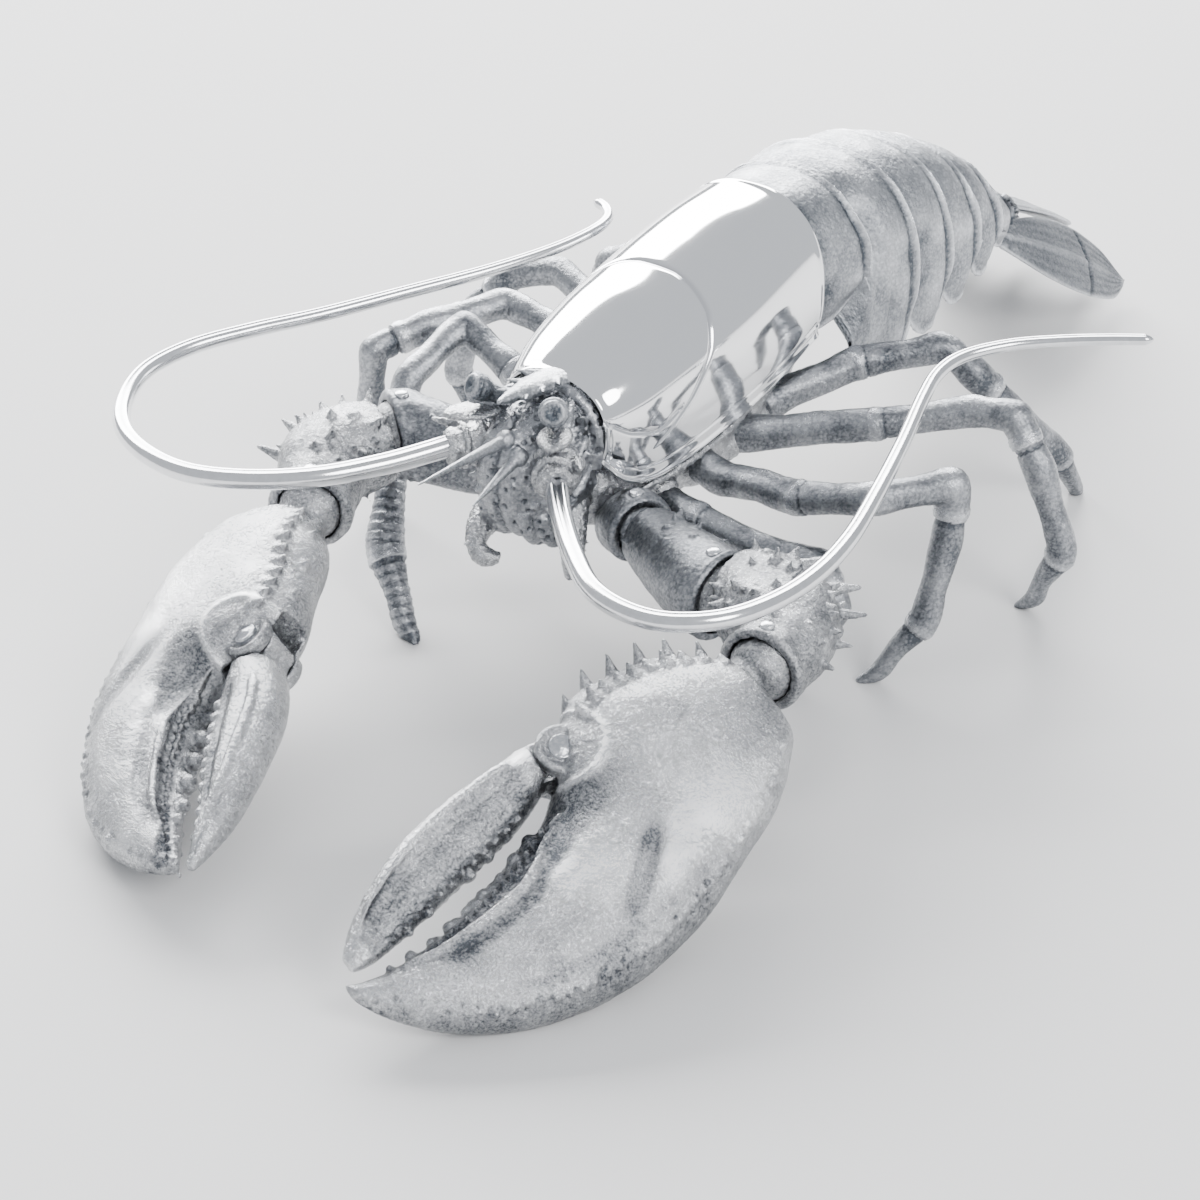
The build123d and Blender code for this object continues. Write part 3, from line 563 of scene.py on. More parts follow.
def make_blade(kind, side, node):
    """A ribbed blade with a raised border, beads near its root and a cross joint."""
    root, tip, facing, widths, thick = FAN_BLADES[kind]
    turn = np.array([side, 1, 1])
    root, tip, facing = np.array(root) * turn, np.array(tip) * turn, np.array(facing) * turn
    along = unit(tip - root)
    facing = unit(facing - along * (facing @ along))
    across = np.cross(facing, along)
    rows, cols = 150, 120
    share = np.linspace(0, 1, rows)
    knots = np.linspace(0, 1, len(widths))
    width = np.interp(share, knots, widths)
    width = np.convolve(np.pad(width, 8, "edge"), np.ones(17) / 17, "valid")
    width *= np.sqrt(np.clip(1 - ((share - 0.86) / 0.14).clip(0, 1) ** 2, 0.0, 1)) * 0.999 + 0.001
    angle = np.linspace(0, 2 * np.pi, cols, endpoint=False)
    u = np.cos(angle)[None, :] * np.ones((rows, 1))
    face = np.sign(np.sin(angle)) * np.abs(np.sin(angle)) ** 0.7
    s = share[:, None] * np.ones((1, cols))
    ribs = np.cos(u * 9.5 * np.pi * (0.55 + 0.45 * s)) * held((s - 0.12) * 5)
    keel = bell(u, 0.14) * (1 - 0.6 * s)
    border = bell(1 - np.abs(u), 0.09) + bell(1 - s, 0.03)
    cross = bell(s - 0.70 + 0.05 * u * u, 0.012) * (kind == "outer")
    flat = (root + (tip - root) * s[..., None] + across * (u * width[:, None])[..., None]).reshape(-1, 3)
    grains = granules(flat, 1.3, 200 + side).reshape(rows, cols)
    beads = granules(flat, 2.6, 220 + side).reshape(rows, cols) * held(1 - (s - 0.05) * 5)
    height = thick * (1 - 0.45 * s) * 0.92
    relief = 0.10 * ribs + 0.8 * keel + 0.4 * border - 0.8 * cross + 0.14 * grains + 0.8 * beads
    rise = face[None, :] * (height + relief * np.abs(face)[None, :])
    centre = root + (tip - root) * s[..., None] + facing * (2.5 * np.sin(np.pi * s))[..., None]
    grid = centre + across * (u * width[:, None])[..., None] + facing * rise[..., None]
    grid[..., 2] = np.maximum(grid[..., 2], 0.05)
    worn = 0.18 + 0.05 * ribs + 0.20 * keel + 0.36 * border - 0.20 * cross + 0.12 * grains + 0.2 * beads
    mesh = sheet_mesh(node + "_blade", grid, closed_u=True, relief=held(worn), cap=True)
    piece(node + "_blade", mesh, "fan_body", SATIN, [node])


# Antenna rods: radius at the socket and at the tip, sides, and a route given bend by bend
ROD_BUTT = 3.15
ROD_TIP = 1.6
ROD_SIDES = 28
ANTENNAE = {
    "left": [
        (17, -148, 71), (22, -154, 70), (30, -163, 69.5), (42, -175, 69.5), (55, -185.5, 69.5),
        (68, -189.5, 69.5), (80, -187.5, 69.5), (91, -178, 69.5), (97, -163, 69.5), (99, -146, 70),
        (97.5, -128, 71), (93, -108, 72.5), (86, -82, 74.5), (79.5, -60, 77), (77, -47, 78.5),
        (79, -36, 79.5), (87, -25, 80.5), (98, -16, 81.3), (109.5, -9, 82.2), (121, -3, 83),
    ],
    "right": [
        (-17, -149, 72), (-21, -155, 71), (-28, -166, 70), (-38, -181, 70), (-52, -193, 70),
        (-68, -200, 70), (-84, -199, 70), (-99, -192, 70), (-109.5, -180, 70.5), (-114.6, -165, 72),
        (-111.5, -149, 73.5), (-102, -133, 75), (-89.5, -115.5, 76.5), (-75.5, -93, 78.5),
        (-62.5, -72.5, 80.5), (-53.5, -53.5, 82), (-49.5, -39, 83), (-50, -28.5, 83.2), (-54.5, -22, 83.2),
        (-61, -19, 83.2),
    ],
}


def make_antenna(name):
    """A tapering rod with a groove along its top and a rounded tip."""
    rows = 520
    path = even(ANTENNAE[name], rows)
    share = np.linspace(0, 1, rows)
    radius = ROD_BUTT + (ROD_TIP - ROD_BUTT) * share
    radius *= np.sqrt(np.clip((1 - share) / 0.008, 0.02, 1))
    grid = tube(path, radius, ROD_SIDES, groove=0.20)
    angle = np.linspace(0, 2 * np.pi, ROD_SIDES, endpoint=False)
    worn = 0.75 - 0.4 * bell(angle - np.pi / 2, 0.25)
    worn = np.ones((rows, 1)) * worn[None, :]
    mesh = sheet_mesh("antenna_%s_rod" % name, grid, closed_u=True, relief=worn, cap=True)
    piece("antenna_%s_rod" % name, mesh, "trunk", ROD, ["antenna_" + name])


# Walking legs, front to back: the bends of each from the body to the table, with x away from the middle
LEGS = {
    "left": [
        [(17, -100, 44), (34, -104, 43.5), (56, -105, 41.5), (72, -100, 40),
         (77, -99, 28), (72, -101, 12), (64, -104, 0)],
        [(18, -84, 46), (58, -88.6, 51), (80, -88.5, 58), (98, -72, 61),
         (97, -74, 42), (95, -80, 20), (83, -90, 0)],
        [(18, -64, 47), (57, -46, 55), (80, -33, 60.5), (93, -30, 62),
         (103, -31.5, 48), (112, -31, 24), (100.5, -30, 0)],
        [(17, -46, 49), (36, -22, 58), (56, -7, 63), (66, -5, 56),
         (73, 3, 44), (80, 25, 20), (81, 39, 0)],
    ],
    "right": [
        [(18, -82, 45), (45, -82, 56), (67, -78, 64), (68, -104, 57),
         (66.5, -113, 40), (55, -134, 18), (36, -147, 0)],
        [(18, -66, 46), (50, -51, 55), (72, -50, 58), (84, -76, 57),
         (92, -90, 53), (94, -90, 34), (88, -92, 0)],
        [(18, -50, 47), (44, -36, 57), (68, -28, 61), (84, -30, 56),
         (96, -34, 42), (104, -34, 18), (102, -28, 0)],
        [(17, -37, 50), (35, -20, 58), (54, -8, 62), (64, -6, 56),
         (72, 2, 42), (80, 22, 18), (82, 34, 0)],
    ],
}


def make_leg(name, side, number):
    """A leg with swollen joints, cut lines behind them, length ridges and rows of small grains."""
    bends = np.array(LEGS[name][number - 1], float) * np.array([side, 1, 1])
    runs = np.concatenate([[0], np.cumsum(np.linalg.norm(np.diff(bends, axis=0), axis=1))])
    place = np.linspace(0, runs[-1], 160)
    line = np.stack([np.interp(place, runs, bends[:, k]) for k in range(3)], 1)
    knee, shin = runs[3] + 0.45 * (runs[4] - runs[3]), runs[5] + 0.10 * (runs[6] - runs[5])
    stout = name == "right" and number == 1

    def marks(at, no):
        gap = np.linalg.norm(at[:, None, :] - line[None, :, :], axis=2)
        run = place[gap.argmin(1)]
        cut = 0.22 * noise(at * np.array([1, 1, 0.45]), 5.0, 17 + number)
        for joint, size in ((runs[1], 0.35), (knee, 0.8), (shin, 0.5)):
            cut += size * bell(run - joint, 1.8)
            cut -= size * bell(run - joint - 2.4, 0.6) * (0.4 + 0.6 * (no[:, 1] < 0.3))
        if stout:
            cut += 0.16 * np.cos(run * 1.9) * held((run - runs[4]) / 8)
        return cut

    extras = []
    rng = np.random.default_rng(100 + number + 10 * side)
    for k in range(1, 7):
        for share in np.linspace(0.15, 0.9, 4 if k < 4 else 3):
            middle = bends[k - 1] + (bends[k] - bends[k - 1]) * share
            out = unit(np.array([side * 0.6, 0.2 - rng.random() * 0.9, 0.75]) + rng.normal(0, 0.3, 3))
            size = (5.2 - 0.55 * k) * 0.9
            if middle[2] > 9:
                foot, tip = middle + out * size * 0.6, middle + out * (size + 0.8)
                thorn(extras, foot, tip, 0.9 + 0.3 * rng.random())
    node = "leg_%s_%d" % (name, number)
    # The leg's darker silver and its tone of -0.16 darken the whole leg: painted shade.
    cast(node, extras, voxel=0.5, grain=(0.09, 1.2), rough_shape=0.35, seed=300 + number * side, marks=marks,
         material=PAINTED_SHADE_SILVER, tone=-0.16)


# Claws: wrist, tip of the fixed finger, and the way from the outer edge to the inner one
CLAWS = {
    "left": ((91, -160, 46), (56, -294, 15), (-0.869, 0.115, 0.482)),
    "right": ((-55.5, -164.5, 47), (-8, -283, 14), (0.869, 0.229, 0.438)),
}
# The knuckle pin, as (s, w) in the claw's own directions, which ClawFrame gives
KNUCKLES = {"left": (62, 11), "right": (60, 4.5)}
# Thorns of the inner edge, as (s, w, size)
SPINES = {
    "left": [(14, 10, 7), (21, 15, 8), (28, 18.5, 8.5), (36, 20.5, 8), (44, 21.5, 7.5), (52, 20, 6)],
    "right": [(20, 9, 5), (32, 11, 5), (44, 12, 5.5)],
}
# The middle of the shallow dent in each palm's back, as (s, w)
DENTS = {"left": (68, -27), "right": (70, -26)}
# The raised lip from the knuckle along the fixed finger, as (s, w)
LIPS = {
    "left": [(70, -2), (76, -3.5), (85, -8), (95, -12), (108, -12.6), (121, -11.6), (133, -8)],
    "right": [(68, -4), (76, -8), (88, -11), (100, -10.5), (112, -8), (122, -4)],
}
# Outline of each palm: s, then w of its outer and of its inner edge
OUTLINES = {
    "left": ([9, 18, 30, 44, 56, 66, 76, 90, 104, 118, 130, 139],
             [-22, -29, -35, -39.5, -43.5, -45.5, -46.5, -46, -43, -37, -28, -17],
             [7, 14, 19.5, 21.5, 19, 8, 0, -4.8, -7.2, -8.2, -7.6, -5.5]),
    "right": ([9, 18, 30, 44, 56, 64, 73, 86, 100, 112, 122, 130],
              [-24, -33, -38, -41.5, -43.5, -44.5, -44.5, -43, -39.5, -34, -25, -13],
              [8, 10, 11.5, 12.5, 11, 3, -5, -7, -6.5, -4, -0.5, 2.5]),
}
# Moving finger: its toothed edge, then its back edge, each as s and w
FINGERS = {
    "left": (([80, 92, 104, 116, 127, 135], [3, 1, -0.5, -2, -3, -3]),
             ([68, 80, 92, 104, 116, 127, 135], [18.5, 19, 19, 17.8, 15, 10.5, 5.5])),
    "right": (([77, 89, 101, 112, 122, 130], [-1, 0, 2, 4.4, 6.4, 6.8]),
              ([66, 77, 89, 101, 112, 122, 130], [12.5, 17, 18.6, 18, 17, 15, 11.8])),
}
# Collar about each end of the knuckle pin: height, radius and the bead's own radius
COLLAR_HEIGHT = 8.46
COLLAR_RADIUS = 5.6
COLLAR_BEAD = 1.1


class ClawFrame:
    """s runs from wrist to tip, w towards the inner edge, n out of the back."""

    def __init__(self, name):
        wrist, tip, inward = (np.array(v, float) for v in CLAWS[name])
        self.wrist = wrist
        self.s = unit(tip - wrist)
        self.w = unit(inward - self.s * (inward @ self.s))
        self.n = unit(np.cross(self.s, self.w))
        self.n *= np.sign(self.n[2])

    def at(self, s, w, n=0.0):
        """The point in mm of the layout."""
        return self.wrist + self.s * s + self.w * w + self.n * n

    def read(self, points):
        """How far along s and w each point is."""
        d = points - self.wrist
        return d @ self.s, d @ self.w


def make_palm(name):
    """The palm and fixed finger: thorns, knobs, teeth, collar and lip, with a worn and hollowed back."""
    claw = ClawFrame(name)
    skin = surface_of("palm_" + name)
    ks, kw = KNUCKLES[name]
    reach, outer, inner = OUTLINES[name]
    rng = np.random.default_rng(40 + len(name))
    extras = []

    def on(s, w):
        """The point of the palm's back over (s, w), with its normal."""
        hit = landed(skin, claw.at(s, w, 45), -claw.n)
        return hit if hit else (claw.at(s, w, 8), claw.n)

    # The thorns of the inner edge, small ones between them, and knobs down the outer edge
    for s, w, size in SPINES[name]:
        thorn(extras, claw.at(s + 1, w - 4, 2), claw.at(s - 1.5, w + size * 0.5, 3 + size * 0.5), 3.6)
    for s in np.arange(12, ks - 6, 4.4):
        edge = np.interp(s, reach, inner)
        point, normal = on(s, edge - 4.5)
        thorn(extras, point, point + unit(normal + claw.w * 0.9) * (2.4 + rng.random() * 1.6), 2.4)
    for s in np.arange(14, 126, 3.4):
        edge = np.interp(s, reach, outer)
        point, normal = on(s + rng.random(), edge + 3.0 + rng.random())
        blob(extras, point - normal * 0.3, 1.0 + 0.7 * rng.random(), 0.8, normal)
    # Collars about the knuckle pin, and the lip from it along the fixed finger
    turn = np.linspace(0, 2 * np.pi, 40, endpoint=False)
    for level in (COLLAR_HEIGHT, -COLLAR_HEIGHT):
        loop = circle(claw.at(ks, kw, level), claw.s, claw.w, COLLAR_RADIUS, turn)
        extras.append(tube(np.concatenate([loop, loop[:1]]), np.full(len(turn) + 1, COLLAR_BEAD), 10))
    lip = [on(s, w)[0] for s, w in LIPS[name]]
    ridge(extras, lip, 1.35, 60)
    # Molars on the crushing edge, blocks on the cutting edge, with beads along the back of the row
    for k, s in enumerate(np.arange(ks + 20, 132, 6.2 if name == "left" else 7.4)):
        edge = np.interp(s, reach, inner)
        size = (2.7 if name == "left" else 2.4) * (1 - 0.42 * (s - 80) / 50) * (1.0 if k % 2 else 0.82)
        blob(extras, claw.at(s, edge + 0.3, 1.0), size, 0.9, claw.w)
        blob(extras, claw.at(s + 2.6, edge + 0.2, -2.2), size * 0.55, 0.9, claw.w)
    for s in np.arange(ks + 18, 132, 3.3):
        edge = np.interp(s, reach, inner)
        point, normal = on(s, edge - 2.0)
        blob(extras, point, 1.5 - 0.5 * (s - 80) / 50, 0.9, normal)

    def polish(at, no):
        s, w = claw.read(at)
        mid = np.interp(s, reach, outer) * 0.58 + np.interp(s, reach, inner) * 0.42
        span = np.interp(s, reach, inner) - np.interp(s, reach, outer)
        off = np.abs(w - mid) / (0.34 * span + 1)
        worn = held(1.2 - off) * held(no @ claw.n) * held((s - 4) / 20)
        worn *= np.clip(0.62 + 0.75 * noise(at, 11.0, 9), 0.1, 1)
        return np.clip(1 - 0.85 * worn, 0.12, 1)

    def marks(at, no):
        s, w = claw.read(at)
        low, high = np.interp(s, reach, outer), np.interp(s, reach, inner)
        up = held(no @ claw.n * 3)
        ends = held((s - 40) / 16) * held((124 - s) / 16)
        dent_s, dent_w = DENTS[name]
        valley = w - dent_w + 0.62 * (s - dent_s)
        flute = -1.5 * np.exp(-((valley / 3.2) ** 2) - ((s - dent_s) / 9.5) ** 2)
        flute += -0.14 * bell(w - low - 8, 1.8) * ends
        lip_w = np.interp(s, [q[0] for q in LIPS[name]], [q[1] for q in LIPS[name]])
        channel = -1.5 * held((w - lip_w - 0.6) / 1.6) * held((high - 0.6 - w) / 1.2)
        channel *= held((s - ks - 10) / 6) * held((136 - s) / 6)
        beside = -0.7 * bell(w - lip_w + 4.2, 2.2)
        beside *= held((s - ks - 6) / 8) * held((124 - s) / 8)
        depth = 1.2 if name == "left" else 1.6
        hollow = -depth * np.exp(-((((s - ks - 12) / 10) ** 2) + (((w - kw + 15) / 5) ** 2)))
        welt = 0.6 * bell(np.hypot(s - ks, w - kw) - 10.5, 1.1) * (s < ks + 9)
        pits = -0.28 * (granules(at, 2.8, 77, 0.5) > 0.5) * bell(w - low - 4, 3.6) * (s > 55)
        # Two raised patches near the dent: the bulge is real shape, and the brightness they add to the colour
        # is a painted highlight.
        worn = 0.95 * np.exp(-(((s - dent_s + 24) / 22) ** 2) - ((w - dent_w) / 9) ** 2)
        worn += 0.75 * np.exp(-(((s - dent_s - 17) / 11) ** 2) - ((w - dent_w - 10) / 5) ** 2)
        worn *= 0.75 + 0.5 * noise(at, 6.5, 33)
        return up * (flute + hollow + welt + channel + beside + worn) + pits

    cast("palm_" + name, extras, voxel=0.55, grain=(0.12, 1.3), rough_shape=0.30, seed=400 + len(name),
         polish=polish, marks=marks, tone=-0.10 if name == "left" else -0.04)


def make_dactyl(name):
    """The moving finger, with rows of teeth and beads, a rim and a channel between."""
    claw = ClawFrame(name)
    skin = surface_of("dactyl_" + name)
    inner, outer = FINGERS[name]
    extras = []
    for s in np.arange(82, 130, 4.0):
        low, high = np.interp(s, *inner), np.interp(s, *outer)
        size = 1.9 - 0.7 * (s - 82) / 48
        for share, level in ((0.10, 1.0), (0.30, 0.8), (0.55, 0.6)):
            hit = landed(skin, claw.at(s + 2 * share, low + (high - low) * share, 40), -claw.n)
            if hit and (name == "left" or share < 0.2):
                blob(extras, hit[0] - claw.n * (1.6 if share > 0.2 else 0.4), size * level, 0.9, hit[1])
        blob(extras, claw.at(s + 2.2, low + 0.7, -1.6), size * 0.8, 1.0, -claw.w)
    rim = []
    for s in np.linspace(72, 133, 9):
        high = np.interp(s, *outer)
        hit = landed(skin, claw.at(s, high - (2.6 if name == "left" else 4.2), 40), -claw.n)
        rim.append(hit[0] if hit else claw.at(s, high - 2, 5))
    ridge(extras, rim, 1.35, 60)

    def marks(at, no):
        s, w = claw.read(at)
        share = (w - np.interp(s, *inner)) / (np.interp(s, *outer) - np.interp(s, *inner) + 1e-6)
        up = held(no @ claw.n * 3) * held((s - 74) / 8) * held((134 - s) / 6)
        if name == "left":
            return -2.3 * up * held((share + 0.05) / 0.2) * held((0.80 - share) / 0.16)
        return -0.9 * up * bell(share - 0.30, 0.10)

    cast("dactyl_" + name, extras, voxel=0.5, grain=(0.14, 1.4), rough_shape=0.3, seed=430 + len(name),
         marks=marks, tone=0.06)


# Arms: hinge centres, the way each cup faces and the cup's outer radius
HINGES = {
    "left": {
        "shoulder": ((24, -120, 46), (0.9015, -0.4327, 0), 10.4),
        "elbow": ((61.5, -138, 46.5), (0.9916, -0.129, 0), 12.9),
        "wrist": ((92, -159, 46), (0.0697, -0.9976, 0), 12.0),
    },
    "right": {
        "shoulder": ((-22, -113, 43.8), (-0.9363, -0.3511, 0), 10.4),
        "elbow": ((-54, -125, 52.5), (-0.589, -0.808, 0), 12.9),
        "wrist": ((-55.5, -164.5, 47), (0.4045, -0.9145, 0), 12.0),
    },
}
# Middle of each wrist block
CARPUS_MIDDLES = {"left": (80, -141, 48.5), "right": (-61, -146, 50.5)}
# How far in front of its hinge's centre each cup ends, and where the bead round it lies
CUP_LIP = 3.8
CUP_BEAD = 2.3


def cup_rim(extras, name, joint, size):
    """A bead round the mouth of a cup. Returns the hinge's centre."""
    centre, forward, outside = HINGES[name][joint]
    centre, forward = np.array(centre, float), np.array(forward, float)
    side = np.cross(forward, UP)
    radius = np.sqrt(outside**2 - CUP_LIP**2) - 0.1
    loop = circle(centre + forward * CUP_BEAD, side, UP, radius, np.linspace(0, 2 * np.pi, 60))
    extras.append(tube(loop, np.full(60, size), 10))
    return centre


def scatter(extras, node, centre, count, seed, size=(0.7, 1.5), spread=(1, 1, 1), spiky=0.5, keep=None):
    """Bosses and thorns over a node, found by looking in from around its middle."""
    skin = surface_of(node)
    rng = np.random.default_rng(seed)
    centre = np.asarray(centre, float)
    for _ in range(count):
        way = unit(rng.normal(0, 1, 3) * np.array(spread) + np.array([0, 0, 0.35]))
        hit = landed(skin, centre + way * 60, -way)
        radius = size[0] + (size[1] - size[0]) * rng.random()
        if hit and (keep is None or keep(hit[0])):
            if rng.random() < spiky:
                thorn(extras, hit[0], hit[0] + unit(hit[1] + way) * radius * 2.0, radius)
            else:
                blob(extras, hit[0], radius, 0.7, hit[1])


def clear_of(*balls):
    """A test that a point is outside every one of the (centre, radius) balls."""
    return lambda p: all(np.linalg.norm(p - centre) > radius for centre, radius in balls)


def make_arm(name):
    """The three castings from the shoulder to the wrist, with their cups' beads."""
    extras = []
    elbow = cup_rim(extras, name, "elbow", 1.0)
    shoulder = np.array(HINGES[name]["shoulder"][0], float)
    scatter(extras, "merus_" + name, (shoulder + elbow) / 2, 26, 500 + len(name), (0.8, 1.6),
            spiky=0.6, keep=clear_of((elbow, 13.6), (shoulder, 12.5)))
    # The upper arm's darker silver and its tone of -0.20 are painted shade.
    cast("merus_" + name, extras, voxel=0.5, grain=(0.11, 1.3), rough_shape=0.45, seed=510 + len(name),
         material=PAINTED_SHADE_SILVER, tone=-0.20)
    extras = []
    wrist = cup_rim(extras, name, "wrist", 1.0)
    scatter(extras, "carpus_" + name, CARPUS_MIDDLES[name], 60, 520 + len(name), (0.9, 2.0),
            spiky=0.75, keep=clear_of((elbow, 15.5), (wrist, 13.2)))
    cast("carpus_" + name, extras, voxel=0.5, grain=(0.12, 1.4), rough_shape=0.5, seed=530 + len(name),
         tone=-0.14)
    extras = []
    cup_rim(extras, name, "shoulder", 0.9)
    # The bracket's darker silver and its tone of -0.20 are painted shade.
    cast("shoulder_bracket_" + name, extras, voxel=0.5, grain=(0.11, 1.3), seed=540 + len(name),
         material=PAINTED_SHADE_SILVER, tone=-0.20)


# Pins and rivets. A pin reaches past its cup; a rivet reaches both ways from its middle, which is inset
PIN_RADIUS = 1.97
PIN_PROUD = 0.8
RIVET_REACH = 3.45
RIVET_INSET = 3.55


def turned(centre, axis, profile):
    """A turned pin from (radius, height) pairs in mm about an axis."""
    axis = unit(axis)
    across = unit(np.cross(axis, [0.31, 0.52, 0.79]))
    up = np.cross(axis, across)
    turn = np.linspace(0, 2 * np.pi, 40, endpoint=False)
    ring = np.outer(np.cos(turn), across) + np.outer(np.sin(turn), up)
    grid = np.array([np.asarray(centre) + ring * r + axis * h for r, h in profile])
    worn = np.array([0.75 if k % 3 else 0.55 for k in range(len(profile))])[:, None] * np.ones((1, 40))
    return grid, worn


def pin_profile(radius, low, high):
    """A shank with softly domed ends."""
    dome = [(radius * np.sin(a), high - 0.6 + 0.6 * np.cos(a)) for a in np.linspace(np.pi / 2, 0.02, 6)]
    foot = [(r, low + (high - h)) for r, h in dome[::-1]]
    return foot + dome


def make_pins():
    """The hinge pins, the knuckle pins with their domed caps, and the tail's rivets."""
    for name, _ in SIDES:
        for joint, (centre, _, outside) in HINGES[name].items():
            node = "%s_pin_%s" % (joint, name)
            profile = pin_profile(PIN_RADIUS, -outside - PIN_PROUD, outside + PIN_PROUD)
            grid, worn = turned(centre, UP, profile)
            mesh = sheet_mesh(node + "_turned", grid, closed_u=True, relief=worn, cap=True)
            piece(node + "_turned", mesh, NODES[node]["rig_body"], PINS, [node])
        claw = ClawFrame(name)
        node = "dactyl_pin_" + name
        caps = []
        for level in (8.8, -8.8):
            blob(caps, claw.at(*KNUCKLES[name], level), 3.4, 0.5, claw.n, 10, 32)
        cast(node, caps, voxel=0.3, grain=(0.05, 1.2), rough_shape=0.05, material=PINS, seed=600)
    for index in range(1, 8):
        node = "tail_rivets_%d" % index
        low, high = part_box(node)
        y = (low[1] + high[1]) * 500 - SHIFT[1]
        z = (low[2] + high[2]) * 500
        outer = high[0] * 1000
        profile = pin_profile(PIN_RADIUS, -RIVET_REACH, RIVET_REACH)
        build = bpy.data.meshes.new(node + "_turned")
        verts, faces = [], []
        for sign in (1, -1):
            grid, _ = turned((sign * (outer - RIVET_INSET), y, z), (sign, 0, 0), profile)
            faces += tube_faces(grid, len(verts))
            verts += metres(grid.reshape(-1, 3)).tolist()
        build.from_pydata(verts, [], faces)
        set_relief(build, np.full(len(verts), 0.7))
        build.update()
        piece(node + "_turned", build, NODES[node]["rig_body"], PINS, [node])


# Raised lines down each side of the face: points, then half thickness
FACE_RIDGES = [
    ([(7, -128, 84.5), (11.5, -134, 83), (13.4, -140, 78), (12, -146, 72)], 1.4),
    ([(12.5, -127, 76), (14.3, -134, 71), (13, -141, 64), (9, -147, 59)], 1.5),
    ([(12.5, -126, 66), (13.6, -133, 60), (11, -140, 54), (6, -145, 51)], 1.5),
    ([(9, -127, 55), (9.5, -134, 49.5), (6.5, -141, 47), (2.5, -145, 48)], 1.3),
]
# Folded mouth parts: x, front and top of each, then half thickness
MOUTH_FOLDS = [(2.4, -147, 62, 2.3), (6.0, -146, 60, 2.4), (9.2, -142, 58, 2.3)]
# Bands of the left antenna's socket: centre and radius
SOCKET_BANDS = [((12.5, -142.5, 70.5), 6.9), ((15.5, -146.5, 71), 5.8), ((17.6, -149.2, 71), 4.6)]
MAXILLIPED_MIDDLES = {"left": (12.5, -134, 44), "right": (-8, -145, 47)}


def make_face():
    """The chased head, its spear, eyes, scales, sockets, antennules and mouth limbs."""
    extras = []
    scatter(extras, "head", (0, -136, 66), 95, 700, (0.7, 1.7), spread=(1, 0.9, 1), spiky=0.45)
    for _, side in SIDES:
        for path, radius in FACE_RIDGES:
            ridge(extras, [(side * x, y, z) for x, y, z in path], radius)
        blob(extras, np.array([side * 5.5, -149.5, 68]), 3.0, 0.8, (side * 0.4, -1, 0))
        blob(extras, np.array([side * 4.5, -148.5, 60]), 2.8, 0.8, (side * 0.3, -1, -0.2))
        for x, low_y, top_z, radius in MOUTH_FOLDS:
            fold = [(side * x, low_y - 3, top_z), (side * x * 1.1, low_y - 1.2, top_z - 8),
                    (side * x * 0.95, low_y + 4, top_z - 13.5), (side * x * 0.8, low_y + 10, top_z - 15)]
            ridge(extras, fold, radius)
        thorn(extras, (side * 11, -138, 82), (side * 14.5, -146, 85), 1.8)
        thorn(extras, (side * 13, -130, 80), (side * 16.5, -134, 84), 1.6)

    turn = np.linspace(-0.35, np.pi + 0.35, 30)
    collar = [(14.9 * np.cos(t), -125.6, 73 + (12.9 if np.sin(t) > 0 else 26) * np.sin(t)) for t in turn]
    ridge(extras, collar, 1.9, 80, taper=False)

    def marks(at, no):
        parting = -0.8 * bell(at[:, 0], 0.9) * (at[:, 1] < -142)
        return parting - 0.6 * (granules(at, 3.6, 71, 0.42) > 0.5)

    # The head's darker silver is painted shade.
    cast("head", extras, voxel=0.42, grain=(0.16, 1.4), rough_shape=0.55, seed=701, marks=marks,
         material=PAINTED_SHADE_SILVER, tone=-0.02)
    cast("rostrum", [], voxel=0.35, grain=(0.12, 1.3), rough_shape=0.15, seed=702, material=SATIN)
    turn = np.linspace(0, 2 * np.pi, 30)
    for name, side in SIDES:
        eye = np.array([12.5 * side, -142.5, 88.2])
        rings = []
        blob(rings, eye, 4.0, 1.0, (side * 0.5, -0.6, 0.5), 16, 24)
        axis = unit(np.array([side * 0.45, -0.75, 0.45]))
        flat = unit(np.cross(axis, UP))
        loop = circle(eye + axis * 1.6, flat, np.cross(axis, flat), 3.5, turn)
        rings.append(tube(loop, np.full(30, 0.75), 8))

        def iris(at, no, eye=eye, axis=axis):
            along_axis = (at - eye) @ axis
            off = np.linalg.norm(at - eye - np.outer(along_axis, axis), axis=1)
            raised = 0.4 * bell(off - 2.9, 0.5)
            return (along_axis > 0) * (raised - 1.5 * bell(off, 1.7))

        cast("eye_" + name, rings, voxel=0.3, grain=(0.05, 0.9), rough_shape=0.05, seed=703, marks=iris,
             material=SATIN, tone=-0.15)
        bands = []
        for place, radius in SOCKET_BANDS:
            centre = np.array(place) * np.array([side, 1, 1])
            along = unit(np.array([3.2 * side, -4.2, 0.3]))
            flat = unit(np.cross(along, UP))
            loop = circle(centre, flat, np.cross(along, flat), radius, turn)
            bands.append(tube(loop, np.full(30, 0.9), 8))
        scatter(bands, "antenna_socket_" + name, (13.5 * side, -143.5, 71), 16, 720 + side, (0.6, 1.2),
                spiky=0.4)
        cast("antenna_socket_" + name, bands, voxel=0.38, grain=(0.2, 1.5), seed=704)
        cast("antennal_scale_" + name, [], voxel=0.3, grain=(0.14, 1.2), rough_shape=0.15, seed=705)
        cast("antennule_" + name, [], voxel=0.3, grain=(0.06, 1.0), rough_shape=0.08, seed=706,
             material=SATIN)
        hairs = []
        scatter(hairs, "maxilliped_" + name, MAXILLIPED_MIDDLES[name], 16, 730 + side, (0.5, 1.0), spiky=0.7)
        cast("maxilliped_" + name, hairs, voxel=0.35, grain=(0.24, 1.5), seed=707)


# Bosses where the legs leave the body, by y, and the raised line over them
LEG_BOSSES = (-100, -84, -66, -50)
FLANK_RIDGE = [(19, -118, 52), (23, -95, 53), (23.5, -70, 55), (21, -40, 60)]


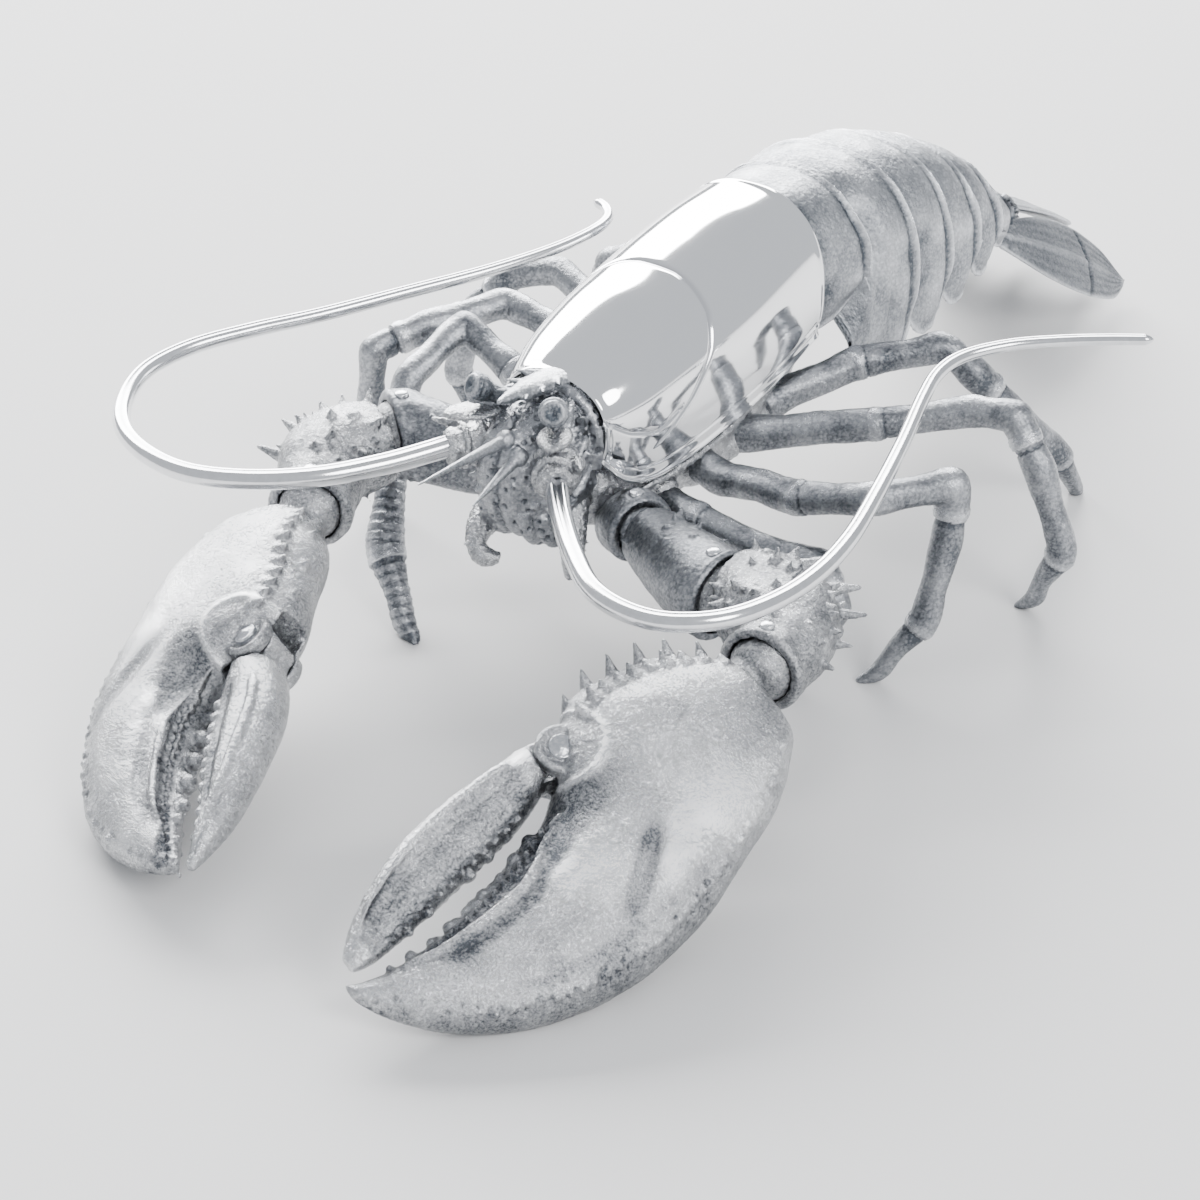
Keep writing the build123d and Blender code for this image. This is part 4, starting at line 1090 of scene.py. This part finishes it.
def make_thorax():
    """The rough underside of the body, seen below the shell."""
    extras = []
    for _, side in SIDES:
        for y in LEG_BOSSES:
            blob(extras, np.array([side * 20, y, 45.5]), 5.2, 0.7, (side, 0, -0.2), 10, 20)
        ridge(extras, [(side * x, y, z) for x, y, z in FLANK_RIDGE], 1.2)
    scatter(extras, "thorax", (0, -76, 52), 60, 800, (0.9, 1.8), spread=(1, 2.2, 0.7), spiky=0.3,
            keep=lambda p: p[2] < 62)
    cast("thorax", extras, voxel=0.75, grain=(0.3, 2.2), seed=801)


# Studio
FLOOR_COLOUR = (0.90, 0.895, 0.89)
WORLD_COLOUR = (0.80, 0.83, 0.88)
WORLD_STRENGTH = 0.92
LIGHTS_AIM = (0, 0, 0.05)
CAMERA_PLACE = (0.4826, -0.7319, 0.5299)
CAMERA_AIM = (-0.0038, -0.0372, 0.0)
CAMERA_LENS = 102.0


def stage_material(name, colour, rough):
    """A plain surface with a very faint cloudiness."""
    material, tree, shader = shaded(name)
    cloud = tree.nodes.new("ShaderNodeTexNoise")
    cloud.inputs["Scale"].default_value = 3.0
    tint = tree.nodes.new("ShaderNodeValToRGB")
    tint.color_ramp.elements[0].color = (*[c * 0.97 for c in colour], 1)
    tint.color_ramp.elements[1].color = (*colour, 1)
    tree.links.new(cloud.outputs["Fac"], tint.inputs[0])
    tree.links.new(tint.outputs[0], shader.inputs["Base Color"])
    shader.inputs["Roughness"].default_value = rough
    return material


def softbox(name, place, size, power):
    """A white area lamp aimed at the lobster, round when its sides are equal."""
    lamp = bpy.data.lights.new(name, "AREA")
    lamp.shape = "RECTANGLE" if size[0] != size[1] else "DISK"
    lamp.size, lamp.size_y = size
    lamp.energy = power
    obj = bpy.data.objects.new(name, lamp)
    obj.location = place
    obj.rotation_euler = (Vector(LIGHTS_AIM) - Vector(place)).to_track_quat("-Z", "Y").to_euler()
    bpy.context.scene.collection.objects.link(obj)


def make_studio():
    """A pale floor, two soft lamps, an even sky and the camera."""
    floor = bpy.data.meshes.new("floor")
    steps = np.linspace(-4, 4, 9)
    verts = [(x, y, 0.0) for y in steps for x in steps]
    row = len(steps)
    corners = [r * row + c for r in range(row - 1) for c in range(row - 1)]
    faces = [(k, k + 1, k + row + 1, k + row) for k in corners]
    floor.from_pydata(verts, [], faces)
    floor.materials.append(stage_material("PaleFloor", FLOOR_COLOUR, 0.7))
    obj = bpy.data.objects.new("floor", floor)
    bpy.context.scene.collection.objects.link(obj)
    world = bpy.data.worlds.new("Studio")
    bpy.context.scene.world = world
    world.use_nodes = True
    sky = world.node_tree.nodes["Background"]
    sky.inputs["Color"].default_value = (*WORLD_COLOUR, 1)
    sky.inputs["Strength"].default_value = WORLD_STRENGTH
    softbox("key_back_left", (-1.9, 1.75, 1.3), (3.0, 1.8), 320)
    softbox("fill_front_right", (2.4, -0.7, 1.9), (1.4, 1.4), 64)
    camera = bpy.data.cameras.new("camera")
    camera.lens = CAMERA_LENS
    camera.sensor_width = 36.0
    camera.clip_start = 0.02
    view = bpy.data.objects.new("camera", camera)
    view.location = CAMERA_PLACE
    view.rotation_euler = (Vector(CAMERA_AIM) - Vector(CAMERA_PLACE)).to_track_quat("-Z", "Y").to_euler()
    bpy.context.scene.collection.objects.link(view)
    bpy.context.scene.camera = view


make_carapace()
for ring_index in TAIL:
    make_tail_ring(ring_index)
make_blade("telson", 1, "telson")
for side_name, side_sign in SIDES:
    for blade_kind in ("inner", "outer"):
        make_blade(blade_kind, side_sign, "uropod_%s_%s" % (blade_kind, side_name))
    make_antenna(side_name)
    for leg_number in range(1, 5):
        make_leg(side_name, side_sign, leg_number)
    make_palm(side_name)
    make_dactyl(side_name)
    make_arm(side_name)
make_pins()
make_face()
make_thorax()
make_studio()
